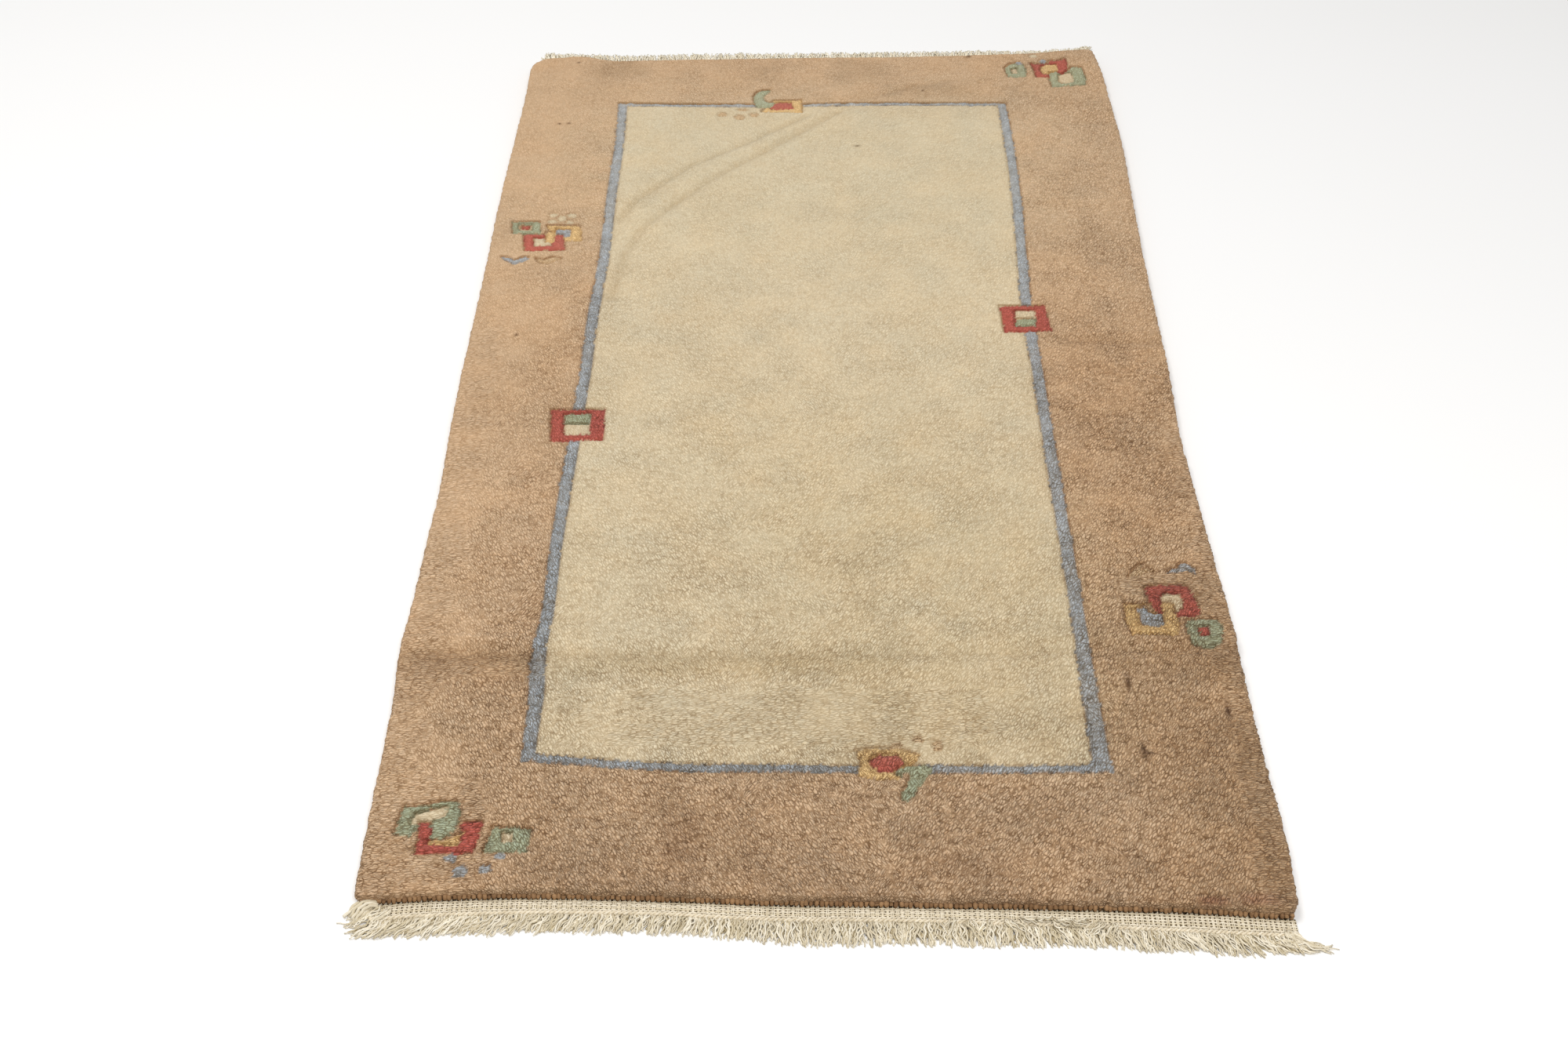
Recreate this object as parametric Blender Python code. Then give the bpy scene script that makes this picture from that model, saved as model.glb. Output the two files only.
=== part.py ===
"""Hand-knotted wool rug, 0.70 m across and about 1.39 m long, lying flat on a floor.

The rug lies along Y with its near end at -Y, on the plane z = 0, and its middle is at the origin.
It is made as it is woven: a field of knotted wool pile, a narrow flat-woven cotton web at each end,
and beyond each web a twined cotton row that carries the cut warps as a fringe.

Everything is first set out on the straight chart that the rug was woven from, a plain rectangle.
Short tables then say where the rug's edges and its framing line really run, and one function moves
any point of the chart to its place on the uneven rug.
"""
import math
import random
from collections import namedtuple

import bmesh
import bpy
import numpy as np

# Driving dimensions, in metres
PILE_HEIGHT = 0.013
LINE_CARVING_DEPTH = 0.0016
LINE_CARVING_WIDTH = 0.0044
WEB_THICKNESS = 0.0026
WEB_RIB_RISE = 0.0004
WEB_RIBS = 3
WEB_TUCK = 0.0016
WEB_SHOULDER = 0.8
ROW_WIDTH = 0.0043
ROW_THICKNESS = 0.0034
GAP = 0.0003
STRANDS_AT_AN_END = 146
STRAND_RADIUS = 0.0008
STRAND_TIP_RADIUS = 0.0005
STRAND_MARGIN = 0.0015
STRAND_LIFT = 0.0001
STRAND_SWAY = 3.0
STRAND_UNEVENNESS = 0.12
UNEVENNESS = 0.0005
WELD = 0.00001

# The straight chart: places of the edges and of the framing line's four edges
CHART_ACROSS = (-0.350, -0.234, -0.222, 0.214, 0.226, 0.350)
CHART_ALONG = (-0.696, -0.558, -0.551, 0.560, 0.567, 0.690)

# Rows of the chart's mesh: steps in from an edge, and the widest step elsewhere
EDGE_STEPS = (0.0, 0.005, 0.012, 0.022)
WIDEST_STEP = 0.032
WEB_STATIONS = 26
ROW_STATIONS = 24

# The long sides, and the framing line's outer edges and widths along them
Side = namedtuple("Side", "y left right line_left line_right left_width right_width")
SIDES = tuple(map(Side._make, (
    (-0.700, -0.3490, 0.3530, -0.2380, 0.2266, 0.0108, 0.0140),
    (-0.620, -0.3500, 0.3556, -0.2380, 0.2266, 0.0108, 0.0140),
    (-0.540, -0.3503, 0.3535, -0.2388, 0.2266, 0.0108, 0.0138),
    (-0.470, -0.3512, 0.3528, -0.2400, 0.2264, 0.0126, 0.0132),
    (-0.428, -0.3542, 0.3533, -0.2425, 0.2260, 0.0125, 0.0130),
    (-0.370, -0.3526, 0.3536, -0.2384, 0.2256, 0.0102, 0.0126),
    (-0.300, -0.3514, 0.3513, -0.2396, 0.2252, 0.0106, 0.0124),
    (-0.195, -0.3494, 0.3485, -0.2385, 0.2246, 0.0112, 0.0120),
    (-0.100, -0.3513, 0.3466, -0.2368, 0.2254, 0.0114, 0.0118),
    (0.000, -0.3520, 0.3504, -0.2350, 0.2250, 0.0114, 0.0116),
    (0.110, -0.3512, 0.3512, -0.2345, 0.2236, 0.0112, 0.0114),
    (0.210, -0.3506, 0.3520, -0.2312, 0.2265, 0.0110, 0.0112),
    (0.330, -0.3507, 0.3550, -0.2320, 0.2305, 0.0108, 0.0110),
    (0.480, -0.3484, 0.3586, -0.2310, 0.2319, 0.0104, 0.0106),
    (0.590, -0.3466, 0.3564, -0.2336, 0.2299, 0.0103, 0.0104),
    (0.650, -0.3470, 0.3545, -0.2338, 0.2299, 0.0103, 0.0104),
    (0.700, -0.3475, 0.3490, -0.2338, 0.2299, 0.0103, 0.0104),
)))

# The two ends, the framing line's outer edges along them, and how far the near web reaches out
End = namedtuple("End", "x near far line_near line_far near_web")
ENDS = tuple(map(End._make, (
    (-0.350, -0.6962, 0.6805, -0.5510, 0.5645, 0.0115),
    (-0.300, -0.6910, 0.6815, -0.5510, 0.5645, 0.0118),
    (-0.240, -0.6880, 0.6770, -0.5512, 0.5647, 0.0112),
    (-0.130, -0.6900, 0.6822, -0.5600, 0.5634, 0.0090),
    (-0.030, -0.6960, 0.6858, -0.5622, 0.5640, 0.0082),
    (0.060, -0.6966, 0.6890, -0.5624, 0.5680, 0.0076),
    (0.200, -0.6998, 0.6970, -0.5608, 0.5694, 0.0092),
    (0.270, -0.7014, 0.7005, -0.5598, 0.5697, 0.0108),
    (0.350, -0.7042, 0.7075, -0.5598, 0.5697, 0.0124),
)))
FAR_WEB_DEPTH = 0.0100

# The pile's rim, from the flat top round to the floor: distance in from the outline, and height as
# a share of the pile's height
Rim = namedtuple("Rim", "inset height_share")
RIM = (
    Rim(0.0048, 1.00),
    Rim(0.0015, 0.88),
    Rim(0.0000, 0.55),
    Rim(0.0022, 0.25),
    Rim(0.0022, 0.00),
)

# The twined row's section: shares of its width and of its thickness
Section = namedtuple("Section", "width_share height_share")
ROW_SECTION = (
    Section(0.10, 0.00),
    Section(0.00, 0.35),
    Section(0.18, 0.86),
    Section(0.50, 1.00),
    Section(0.82, 0.86),
    Section(1.00, 0.35),
    Section(0.90, 0.00),
)

# How round the rug's corners are: side is -1 on the left, end is -1 at the near end
Corner = namedtuple("Corner", "side end radius")
CORNERS = (Corner(-1, -1, 0.009), Corner(1, -1, 0.012), Corner(-1, 1, 0.026), Corner(1, 1, 0.009))

# Creases and waves left from folding and rolling, as soft ridges and troughs that run from one
# point to another
Fold = namedtuple("Fold", "x0 y0 x1 y1 rise half_width")
FOLDS = tuple(map(Fold._make, (
    (-0.352, -0.408, 0.352, -0.394, 0.0013, 0.014),
    (-0.352, -0.434, 0.352, -0.420, -0.0018, 0.011),
    (0.030, 0.548, -0.140, 0.425, -0.0013, 0.013),
    (0.060, 0.520, -0.205, 0.290, -0.0013, 0.014),
    (-0.205, 0.290, -0.190, -0.060, -0.0009, 0.020),
    (0.280, 0.052, 0.352, 0.062, -0.0018, 0.010),
    (-0.354, -0.100, -0.300, -0.094, 0.0010, 0.014),
    (-0.290, 0.620, -0.284, 0.700, 0.0026, 0.020),
    (-0.243, 0.630, -0.240, 0.700, -0.0014, 0.018),
    (0.352, 0.720, 0.340, 0.690, 0.0045, 0.045),
)))

# The slight unevenness all over the top, as waves: radians per metre in x and in y, and its share
Wave = namedtuple("Wave", "across along phase share")
WAVES = (Wave(23.0, -11.0, 2.5, 0.5), Wave(23.0, 11.0, 0.1, 0.5), Wave(-9.0, 17.0, 0.0, 0.6))

# How the fringe has been combed by use at each end: sweep is degrees towards +X
Combed = namedtuple("Combed", "x sweep length")
NEAR_FRINGE = tuple(map(Combed._make, (
    (-0.335, -62.0, 0.024),
    (-0.290, -54.0, 0.024),
    (-0.240, -46.0, 0.023),
    (-0.150, -32.0, 0.022),
    (-0.050, -8.0, 0.024),
    (0.060, 4.0, 0.026),
    (0.150, 14.0, 0.025),
    (0.250, 34.0, 0.023),
    (0.320, 50.0, 0.024),
    (0.348, 62.0, 0.032),
)))
FAR_FRINGE = tuple(map(Combed._make, (
    (-0.335, -30.0, 0.019),
    (-0.200, -12.0, 0.021),
    (0.000, 6.0, 0.021),
    (0.180, 10.0, 0.019),
    (0.300, 4.0, 0.018),
    (0.346, 24.0, 0.023),
)))
WEB_FROM_LEFT = 0.014
WEB_FROM_RIGHT = 0.006

# Colours, linear: tan, cream and grey-blue wool, and undyed cotton
TAN_WOOL = (0.54, 0.36, 0.22)
CREAM_WOOL = (0.68, 0.57, 0.38)
BLUE_WOOL = (0.33, 0.36, 0.39)
COTTON = (0.72, 0.64, 0.48)


def through(rows, column, at):
    """A table's named column read at any place along its first column, on one smooth curve."""
    xs = np.array([row[0] for row in rows])
    ys = np.array([getattr(row, column) for row in rows])
    slopes = np.gradient(ys, xs)
    at = np.clip(np.asarray(at, dtype=float), xs[0], xs[-1])
    i = np.clip(np.searchsorted(xs, at) - 1, 0, len(xs) - 2)
    span = xs[i + 1] - xs[i]
    t = (at - xs[i]) / span
    start = (2 * t**3 - 3 * t**2 + 1) * ys[i] + (t**3 - 2 * t**2 + t) * span * slopes[i]
    end = (3 * t**2 - 2 * t**3) * ys[i + 1] + (t**3 - t**2) * span * slopes[i + 1]
    return start + end


def stretched(chart, stations, value):
    """Move a chart value so that each of the chart's stations lands on its real place."""
    value = np.asarray(value, dtype=float)
    result = np.empty_like(value)
    for k in range(len(chart) - 1):
        inside = (value >= chart[k]) & (value <= chart[k + 1])
        share = (value - chart[k]) / (chart[k + 1] - chart[k])
        result = np.where(inside, stations[k] + share * (stations[k + 1] - stations[k]), result)
    return result


def on_the_rug(u, v, inset=0.0):
    """Real x and y of chart point (u, v), with the outline drawn in by inset and its corners round."""
    near_line = through(ENDS, "line_near", u)
    far_line = through(ENDS, "line_far", u)
    line = CHART_ALONG[2] - CHART_ALONG[1]
    y = stretched(CHART_ALONG, (through(ENDS, "near", u) + inset, near_line, near_line + line,
                                far_line - line, far_line, through(ENDS, "far", u) - inset), v)
    left_line = through(SIDES, "line_left", y)
    right_line = through(SIDES, "line_right", y)
    left = through(SIDES, "left", y) + inset
    right = through(SIDES, "right", y) - inset
    x = stretched(CHART_ACROSS, (left, left_line, left_line + through(SIDES, "left_width", y),
                                 right_line - through(SIDES, "right_width", y), right_line, right), u)
    near = through(ENDS, "near", x) + inset
    far = through(ENDS, "far", x) - inset
    for side, end, radius in CORNERS:
        reach = radius - inset
        from_side = right - x if side > 0 else x - left
        from_end = far - y if end > 0 else y - near
        a = 1 - np.clip(from_side / reach, 0.0, 1.0)
        b = 1 - np.clip(from_end / reach, 0.0, 1.0)
        x = x - side * reach * a * (1 - np.sqrt(1 - b * b / 2))
        y = y - end * reach * b * (1 - np.sqrt(1 - a * a / 2))
    return x, y


def fold_height(x, y):
    """Rise of the pile's top over its mean height, from the folds and a slight general unevenness."""
    waves = sum(wave.share * np.sin(wave.across * x + wave.along * y + wave.phase) for wave in WAVES)
    rise = UNEVENNESS * waves
    for x0, y0, x1, y1, height, half_width in FOLDS:
        length = math.hypot(x1 - x0, y1 - y0)
        along = ((x - x0) * (x1 - x0) + (y - y0) * (y1 - y0)) / length
        beyond = np.maximum(np.maximum(-along, along - length), 0.0)
        aside = ((x - x0) * (y1 - y0) - (y - y0) * (x1 - x0)) / length
        rise = rise + height * np.exp(-(aside**2 + beyond**2) / half_width**2)
    return rise


def carving_depth(u, v):
    """Depth of the groove clipped into the pile along both edges of the framing line."""
    depth = np.zeros_like(u)
    for k in (1, 2):
        across = np.maximum(CHART_ACROSS[k] - u, u - CHART_ACROSS[-1 - k])
        along = np.maximum(CHART_ALONG[k] - v, v - CHART_ALONG[-1 - k])
        from_edge = np.abs(np.maximum(across, along))
        groove = LINE_CARVING_DEPTH * np.clip(1 - 2 * from_edge / LINE_CARVING_WIDTH, 0.0, 1.0)
        depth = np.maximum(depth, groove)
    return depth


def chart_rows(chart):
    """Places of the mesh's rows on the chart: close at the edges and grooves, wide between them."""
    half = LINE_CARVING_WIDTH / 2
    rows = [chart[0] + step for step in EDGE_STEPS]
    rows += [chart[-1] - step for step in EDGE_STEPS]
    rows += [edge + step for edge in chart[1:-1] for step in (-half, 0.0, half)]
    rows.sort()
    filled = []
    for here, there in zip(rows, rows[1:]):
        steps = math.ceil((there - here) / WIDEST_STEP)
        filled += [here + (there - here) * i / steps for i in range(steps)]
    return filled + [rows[-1]]


def wool(name, colour, roughness=0.95):
    """A plain Principled material for one yarn."""
    material = bpy.data.materials.new(name)
    material.use_nodes = True
    shader = material.node_tree.nodes["Principled BSDF"]
    shader.inputs["Base Color"].default_value = (*colour, 1.0)
    shader.inputs["Roughness"].default_value = roughness
    shader.inputs["Metallic"].default_value = 0.0
    return material


def add_object(name, mesh, collection, materials):
    """Put a finished mesh in the rug's collection under its own name."""
    obj = bpy.data.objects.new(name, mesh)
    for material in materials:
        mesh.materials.append(material)
    collection.objects.link(obj)
    return obj


def knotted_pile(collection):
    """The knotted wool field: a grid laid on the chart, its rim drawn down to a flat underside.

    The grid's boundary is extruded once for each row of the rim's table, and each new ring is put
    on the outline drawn in by that row's inset. The last ring lies on the floor and is filled.
    """
    across = chart_rows(CHART_ACROSS)
    along = chart_rows(CHART_ALONG)
    bm = bmesh.new()
    bmesh.ops.create_grid(bm, x_segments=len(across) - 1, y_segments=len(along) - 1, size=1.0)
    column = bm.verts.layers.int.new("column")
    row = bm.verts.layers.int.new("row")
    for vert in bm.verts:
        vert[column] = round((vert.co.x + 1) / 2 * (len(across) - 1))
        vert[row] = round((vert.co.y + 1) / 2 * (len(along) - 1))

    def lay(verts, inset, share_of_height):
        """Put vertices on the rug at one inset, at a share of the pile's height there."""
        u = np.array([across[vert[column]] for vert in verts])
        v = np.array([along[vert[row]] for vert in verts])
        x, y = on_the_rug(u, v, inset)
        top = PILE_HEIGHT + fold_height(x, y) - carving_depth(u, v)
        for vert, *place in zip(verts, x, y, top * share_of_height):
            vert.co = place

    lay(bm.verts[:], *RIM[0])
    for face in bm.faces:
        middle_u = sum(across[vert[column]] for vert in face.verts) / len(face.verts)
        middle_v = sum(along[vert[row]] for vert in face.verts) / len(face.verts)
        inside = [chart[1] < middle < chart[-2] for chart, middle
                  in ((CHART_ACROSS, middle_u), (CHART_ALONG, middle_v))]
        in_field = [chart[2] < middle < chart[-3] for chart, middle
                    in ((CHART_ACROSS, middle_u), (CHART_ALONG, middle_v))]
        face.material_index = 1 if all(in_field) else 2 if all(inside) else 0
    ring = [edge for edge in bm.edges if edge.is_boundary]
    for inset, share_of_height in RIM[1:]:
        made = bmesh.ops.extrude_edge_only(bm, edges=ring)["geom"]
        lay([part for part in made if isinstance(part, bmesh.types.BMVert)], inset, share_of_height)
        ring = [part for part in made if isinstance(part, bmesh.types.BMEdge) and part.is_boundary]
    bmesh.ops.contextual_create(bm, geom=ring)
    bmesh.ops.recalc_face_normals(bm, faces=bm.faces)
    mesh = bpy.data.meshes.new("pile")
    bm.to_mesh(mesh)
    bm.free()
    materials = [wool("tan wool", TAN_WOOL), wool("cream wool", CREAM_WOOL), wool("blue wool", BLUE_WOOL)]
    add_object("pile", mesh, collection, materials)


def loft(name, rings):
    """A closed mesh through rings of points, each ring a section of the strip, with flat ends."""
    count = len(rings[0])
    verts = [point for ring in rings for point in ring]
    faces = [list(range(count)), list(range(len(verts) - count, len(verts)))]
    for k in range(len(rings) - 1):
        for i in range(count):
            j = (i + 1) % count
            faces.append([k * count + i, k * count + j, (k + 1) * count + j, (k + 1) * count + i])
    mesh = bpy.data.meshes.new(name)
    mesh.from_pydata(verts, [], faces)
    bm = bmesh.new()
    bm.from_mesh(mesh)
    bmesh.ops.recalc_face_normals(bm, faces=bm.faces)
    bm.to_mesh(mesh)
    bm.free()
    return mesh


class RugEnd:
    """One end of the rug: where its web, twined row and fringe lie along it.

    Distances out are measured away from the rug, from the outline of the pile.
    """

    def __init__(self, word, side, fringe):
        self.word = word
        self.side = side
        self.fringe = fringe
        y = CHART_ALONG[0] if side < 0 else CHART_ALONG[-1]
        self.left = float(through(SIDES, "left", y)) + WEB_FROM_LEFT
        self.right = float(through(SIDES, "right", y)) - WEB_FROM_RIGHT

    def web_depth(self, x):
        """How far the web reaches out at x."""
        return float(through(ENDS, "near_web", x)) if self.side < 0 else FAR_WEB_DEPTH

    def point(self, x, out, z):
        """A point at x, a distance out from the pile's outline, at height z."""
        edge = float(through(ENDS, "near" if self.side < 0 else "far", x))
        return (x, edge + self.side * out, z)


def end_web(end, collection):
    """The flat-woven cotton web: a thin strip with one soft rib for each of its rows of weft.

    Its inner edge is tucked in under the overhang of the pile.
    """
    start = -WEB_TUCK
    rings = []
    for x in np.linspace(end.left, end.right, WEB_STATIONS):
        depth = end.web_depth(x)
        ring = [end.point(x, start, 0.0), end.point(x, start, WEB_THICKNESS * WEB_SHOULDER)]
        for k in range(2 * WEB_RIBS + 1):
            out = start + (depth - start) * (k + 0.5) / (2 * WEB_RIBS + 1)
            rise = WEB_RIB_RISE if k % 2 else 0.0
            ring.append(end.point(x, out, WEB_THICKNESS - WEB_RIB_RISE + rise))
        ring += [end.point(x, depth, WEB_THICKNESS * WEB_SHOULDER), end.point(x, depth, 0.0)]
        rings.append(ring)
    name = "end_web_" + end.word
    add_object(name, loft(name, rings), collection, [wool("cotton web " + end.word, COTTON)])


def twined_row(end):
    """The twined cotton row that holds the warps, a rounded strip just beyond the web."""
    rings = []
    for x in np.linspace(end.left, end.right, ROW_STATIONS):
        start = end.web_depth(x) + GAP
        rings.append([end.point(x, start + share * ROW_WIDTH, height * ROW_THICKNESS)
                      for share, height in ROW_SECTION])
    return loft("twined row", rings)


def fringe_strands(end):
    """The cut warps as thin four-sided tubes that lie on the floor, swept as the table says.

    Each starts inside the twined row, comes straight out of it and then turns to its own sweep.
    """
    sway = random.Random("fringe " + end.word)
    curve = bpy.data.curves.new("strands", "CURVE")
    curve.dimensions = "3D"
    curve.bevel_depth = STRAND_RADIUS
    curve.bevel_resolution = 0
    curve.use_fill_caps = True
    for x in np.linspace(end.left + STRAND_MARGIN, end.right - STRAND_MARGIN, STRANDS_AT_AN_END):
        sweep = math.radians(float(through(end.fringe, "sweep", x)))
        sweep += math.radians(STRAND_SWAY) * math.cos(sweep) * sway.uniform(-1, 1)
        length = float(through(end.fringe, "length", x)) * (1 + STRAND_UNEVENNESS * sway.uniform(-1, 1))
        centre = end.web_depth(x) + GAP + ROW_WIDTH / 2
        mouth = centre + ROW_WIDTH / 2 + STRAND_RADIUS
        tip = mouth + length * math.cos(sweep)
        spline = curve.splines.new("POLY")
        spline.points.add(2)
        places = (
            (x, centre, STRAND_RADIUS),
            (x, mouth, STRAND_RADIUS),
            (x + length * math.sin(sweep), tip, STRAND_TIP_RADIUS),
        )
        for point, (across, out, radius) in zip(spline.points, places):
            edge = end.point(x, out, radius + STRAND_LIFT)
            point.co = (across, edge[1], edge[2], 1.0)
            point.radius = radius / STRAND_RADIUS
    holder = bpy.data.objects.new("strands", curve)
    bpy.context.scene.collection.objects.link(holder)
    bpy.context.view_layer.update()
    mesh = bpy.data.meshes.new_from_object(holder.evaluated_get(bpy.context.evaluated_depsgraph_get()))
    bpy.data.objects.remove(holder)
    bm = bmesh.new()
    bm.from_mesh(mesh)
    bmesh.ops.remove_doubles(bm, verts=bm.verts, dist=WELD)
    bmesh.ops.recalc_face_normals(bm, faces=bm.faces)
    bm.to_mesh(mesh)
    bm.free()
    return mesh


def end_fringe(end, collection, guides):
    """The twined row and its strands, joined into one solid by a Boolean union."""
    name = "fringe_" + end.word
    row = add_object(name, twined_row(end), collection, [wool("cotton fringe " + end.word, COTTON)])
    strands = add_object("strands_" + end.word, fringe_strands(end), guides, [])
    strands.hide_render = True
    strands.display_type = "WIRE"
    union = row.modifiers.new("strands", "BOOLEAN")
    union.operation = "UNION"
    union.object = strands


def main():
    """Clear the scene and lay out the rug's five pieces."""
    for obj in list(bpy.data.objects):
        bpy.data.objects.remove(obj)
    collection = bpy.data.collections.new("Wool rug")
    guides = bpy.data.collections.new("Guides")
    bpy.context.scene.collection.children.link(collection)
    bpy.context.scene.collection.children.link(guides)
    knotted_pile(collection)
    for end in (RugEnd("near", -1, NEAR_FRINGE), RugEnd("far", 1, FAR_FRINGE)):
        end_web(end, collection)
        end_fringe(end, collection, guides)


main()
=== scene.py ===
"""The looks of a hand-knotted wool rug that lies flat on a pale floor.

The script follows the rug as it is woven and finished: first where the camera stands, then the
knotted pile with its framing line and small motifs, the flat-woven cotton webs at its two ends, the
twined rows that lock them, the fringes, and a few loose yarn ends. Lengths are in metres, or in
millimetres where a name or a table says so. The near end of the rug is at -Y.
"""

import math
from collections import namedtuple

import bpy
import numpy as np
from mathutils import Matrix, Vector


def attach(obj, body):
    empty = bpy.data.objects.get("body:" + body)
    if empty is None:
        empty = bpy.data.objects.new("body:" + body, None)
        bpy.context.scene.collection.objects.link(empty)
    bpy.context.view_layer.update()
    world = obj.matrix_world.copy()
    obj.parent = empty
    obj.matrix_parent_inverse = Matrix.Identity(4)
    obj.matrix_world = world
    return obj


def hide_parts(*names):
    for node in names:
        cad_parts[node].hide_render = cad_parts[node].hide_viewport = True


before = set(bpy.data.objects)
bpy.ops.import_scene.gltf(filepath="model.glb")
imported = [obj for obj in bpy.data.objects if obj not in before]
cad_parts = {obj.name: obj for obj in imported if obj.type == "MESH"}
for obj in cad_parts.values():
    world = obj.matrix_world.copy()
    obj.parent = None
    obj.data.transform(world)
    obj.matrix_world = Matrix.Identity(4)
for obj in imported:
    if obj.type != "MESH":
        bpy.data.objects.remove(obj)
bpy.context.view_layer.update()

# The camera
# It stands beyond the near end of the rug and looks down its length, with a normal 50 mm lens.
CAMERA_PLACE = (-0.0277, -1.7909, 1.2285)
CAMERA_DOWN = math.radians(38.215)
CAMERA_TURN = math.radians(0.130)
CAMERA_ROLL = math.radians(0.250)
CAMERA_LENS_MM = 50.0
FILM_WIDTH_MM = 36.0

lens = bpy.data.cameras.new("camera")
lens.sensor_fit = "HORIZONTAL"
lens.sensor_width = FILM_WIDTH_MM
lens.lens = CAMERA_LENS_MM
camera = bpy.data.objects.new("camera", lens)
camera.matrix_world = (Matrix.Translation(CAMERA_PLACE) @ Matrix.Rotation(CAMERA_TURN, 4, "Z")
                       @ Matrix.Rotation(math.pi / 2 - CAMERA_DOWN, 4, "X")
                       @ Matrix.Rotation(CAMERA_ROLL, 4, "Z"))
bpy.context.scene.collection.objects.link(camera)
bpy.context.scene.camera = camera

# The floor
# A plain pale studio floor, smooth and matt, under the whole rug.
FLOOR_HALF_SIDE = 12.0
FLOOR_WHITES = ("#F4F3F1", "#F7F6F5")
FLOOR_TONE_SCALE = 1.2


def linear(hex_colour):
    """Linear red, green, blue and alpha of an sRGB colour written as #RRGGBB."""
    shares = np.array([int(hex_colour[k:k + 2], 16) / 255 for k in (1, 3, 5)])
    parts = np.where(shares <= 0.04045, shares / 12.92, ((shares + 0.055) / 1.055) ** 2.4)
    return (*parts.tolist(), 1.0)


def add_node(tree, kind, settings=(), **inputs):
    """Add one node: settings are its own choices, and inputs are values or sockets by input name."""
    node = tree.nodes.new(kind)
    for name, choice in dict(settings).items():
        setattr(node, name, choice)
    for name, value in inputs.items():
        socket = node.inputs[int(name[1:])] if name[0] == "i" and name[1:].isdigit() else \
            node.inputs[name.replace("_", " ")]
        if isinstance(value, bpy.types.NodeSocket):
            tree.links.new(value, socket)
        else:
            socket.default_value = value
    return node


def blank_material(name):
    """An empty node material, with its tree and its surface shader."""
    material = bpy.data.materials.new(name)
    material.use_nodes = True
    return material, material.node_tree, material.node_tree.nodes["Principled BSDF"]


def make_mesh(name, points, face_blocks, materials):
    """A mesh object from an array of points and blocks of faces.

    A block is an array of faces of one size, their material slot, and whether they are shaded smooth.
    """
    mesh = bpy.data.meshes.new(name)
    corners = np.concatenate([faces.ravel() for faces, _, _ in face_blocks])
    sizes = np.concatenate([np.full(len(faces), faces.shape[1]) for faces, _, _ in face_blocks])
    slots = np.concatenate([np.full(len(faces), slot) for faces, slot, _ in face_blocks])
    smooth = np.concatenate([np.full(len(faces), is_smooth) for faces, _, is_smooth in face_blocks])
    mesh.vertices.add(len(points))
    mesh.vertices.foreach_set("co", np.ascontiguousarray(points, dtype=np.float32).ravel())
    mesh.loops.add(len(corners))
    mesh.loops.foreach_set("vertex_index", corners.astype(np.int32))
    mesh.polygons.add(len(sizes))
    mesh.polygons.foreach_set("loop_start", (np.cumsum(sizes) - sizes).astype(np.int32))
    for material in materials:
        mesh.materials.append(material)
    mesh.polygons.foreach_set("material_index", slots.astype(np.int32))
    mesh.update(calc_edges=True)
    mesh.polygons.foreach_set("use_smooth", smooth)
    piece = bpy.data.objects.new(name, mesh)
    bpy.context.scene.collection.objects.link(piece)
    return piece


def tint_points(piece, name, tints):
    """Give each point of a piece three or four shares, which the material reads by this name."""
    layer = piece.data.attributes.new(name, "FLOAT_COLOR", "POINT")
    filled = np.ones((len(tints), 4), dtype=np.float32)
    filled[:, :tints.shape[1]] = tints
    layer.data.foreach_set("color", filled.ravel())


floor_paint, tree, shader = blank_material("matt studio floor")
# A slow change of tone keeps the floor from reading as one flat value
place = add_node(tree, "ShaderNodeTexCoord").outputs["Object"]
tone = add_node(tree, "ShaderNodeTexNoise", Vector=place, Scale=FLOOR_TONE_SCALE, Detail=1.0)
white = add_node(tree, "ShaderNodeMix", {"data_type": "RGBA"}, Factor=tone.outputs["Fac"],
                 i6=linear(FLOOR_WHITES[0]), i7=linear(FLOOR_WHITES[1]))
tree.links.new(white.outputs[2], shader.inputs["Base Color"])
shader.inputs["Roughness"].default_value = 0.7
floor_corners = FLOOR_HALF_SIDE * np.array([(-1, -1, 0), (1, -1, 0), (1, 1, 0), (-1, 1, 0)])
floor = make_mesh("floor", floor_corners, [(np.array([[0, 1, 2, 3]]), 0, False)], [floor_paint])

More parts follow.
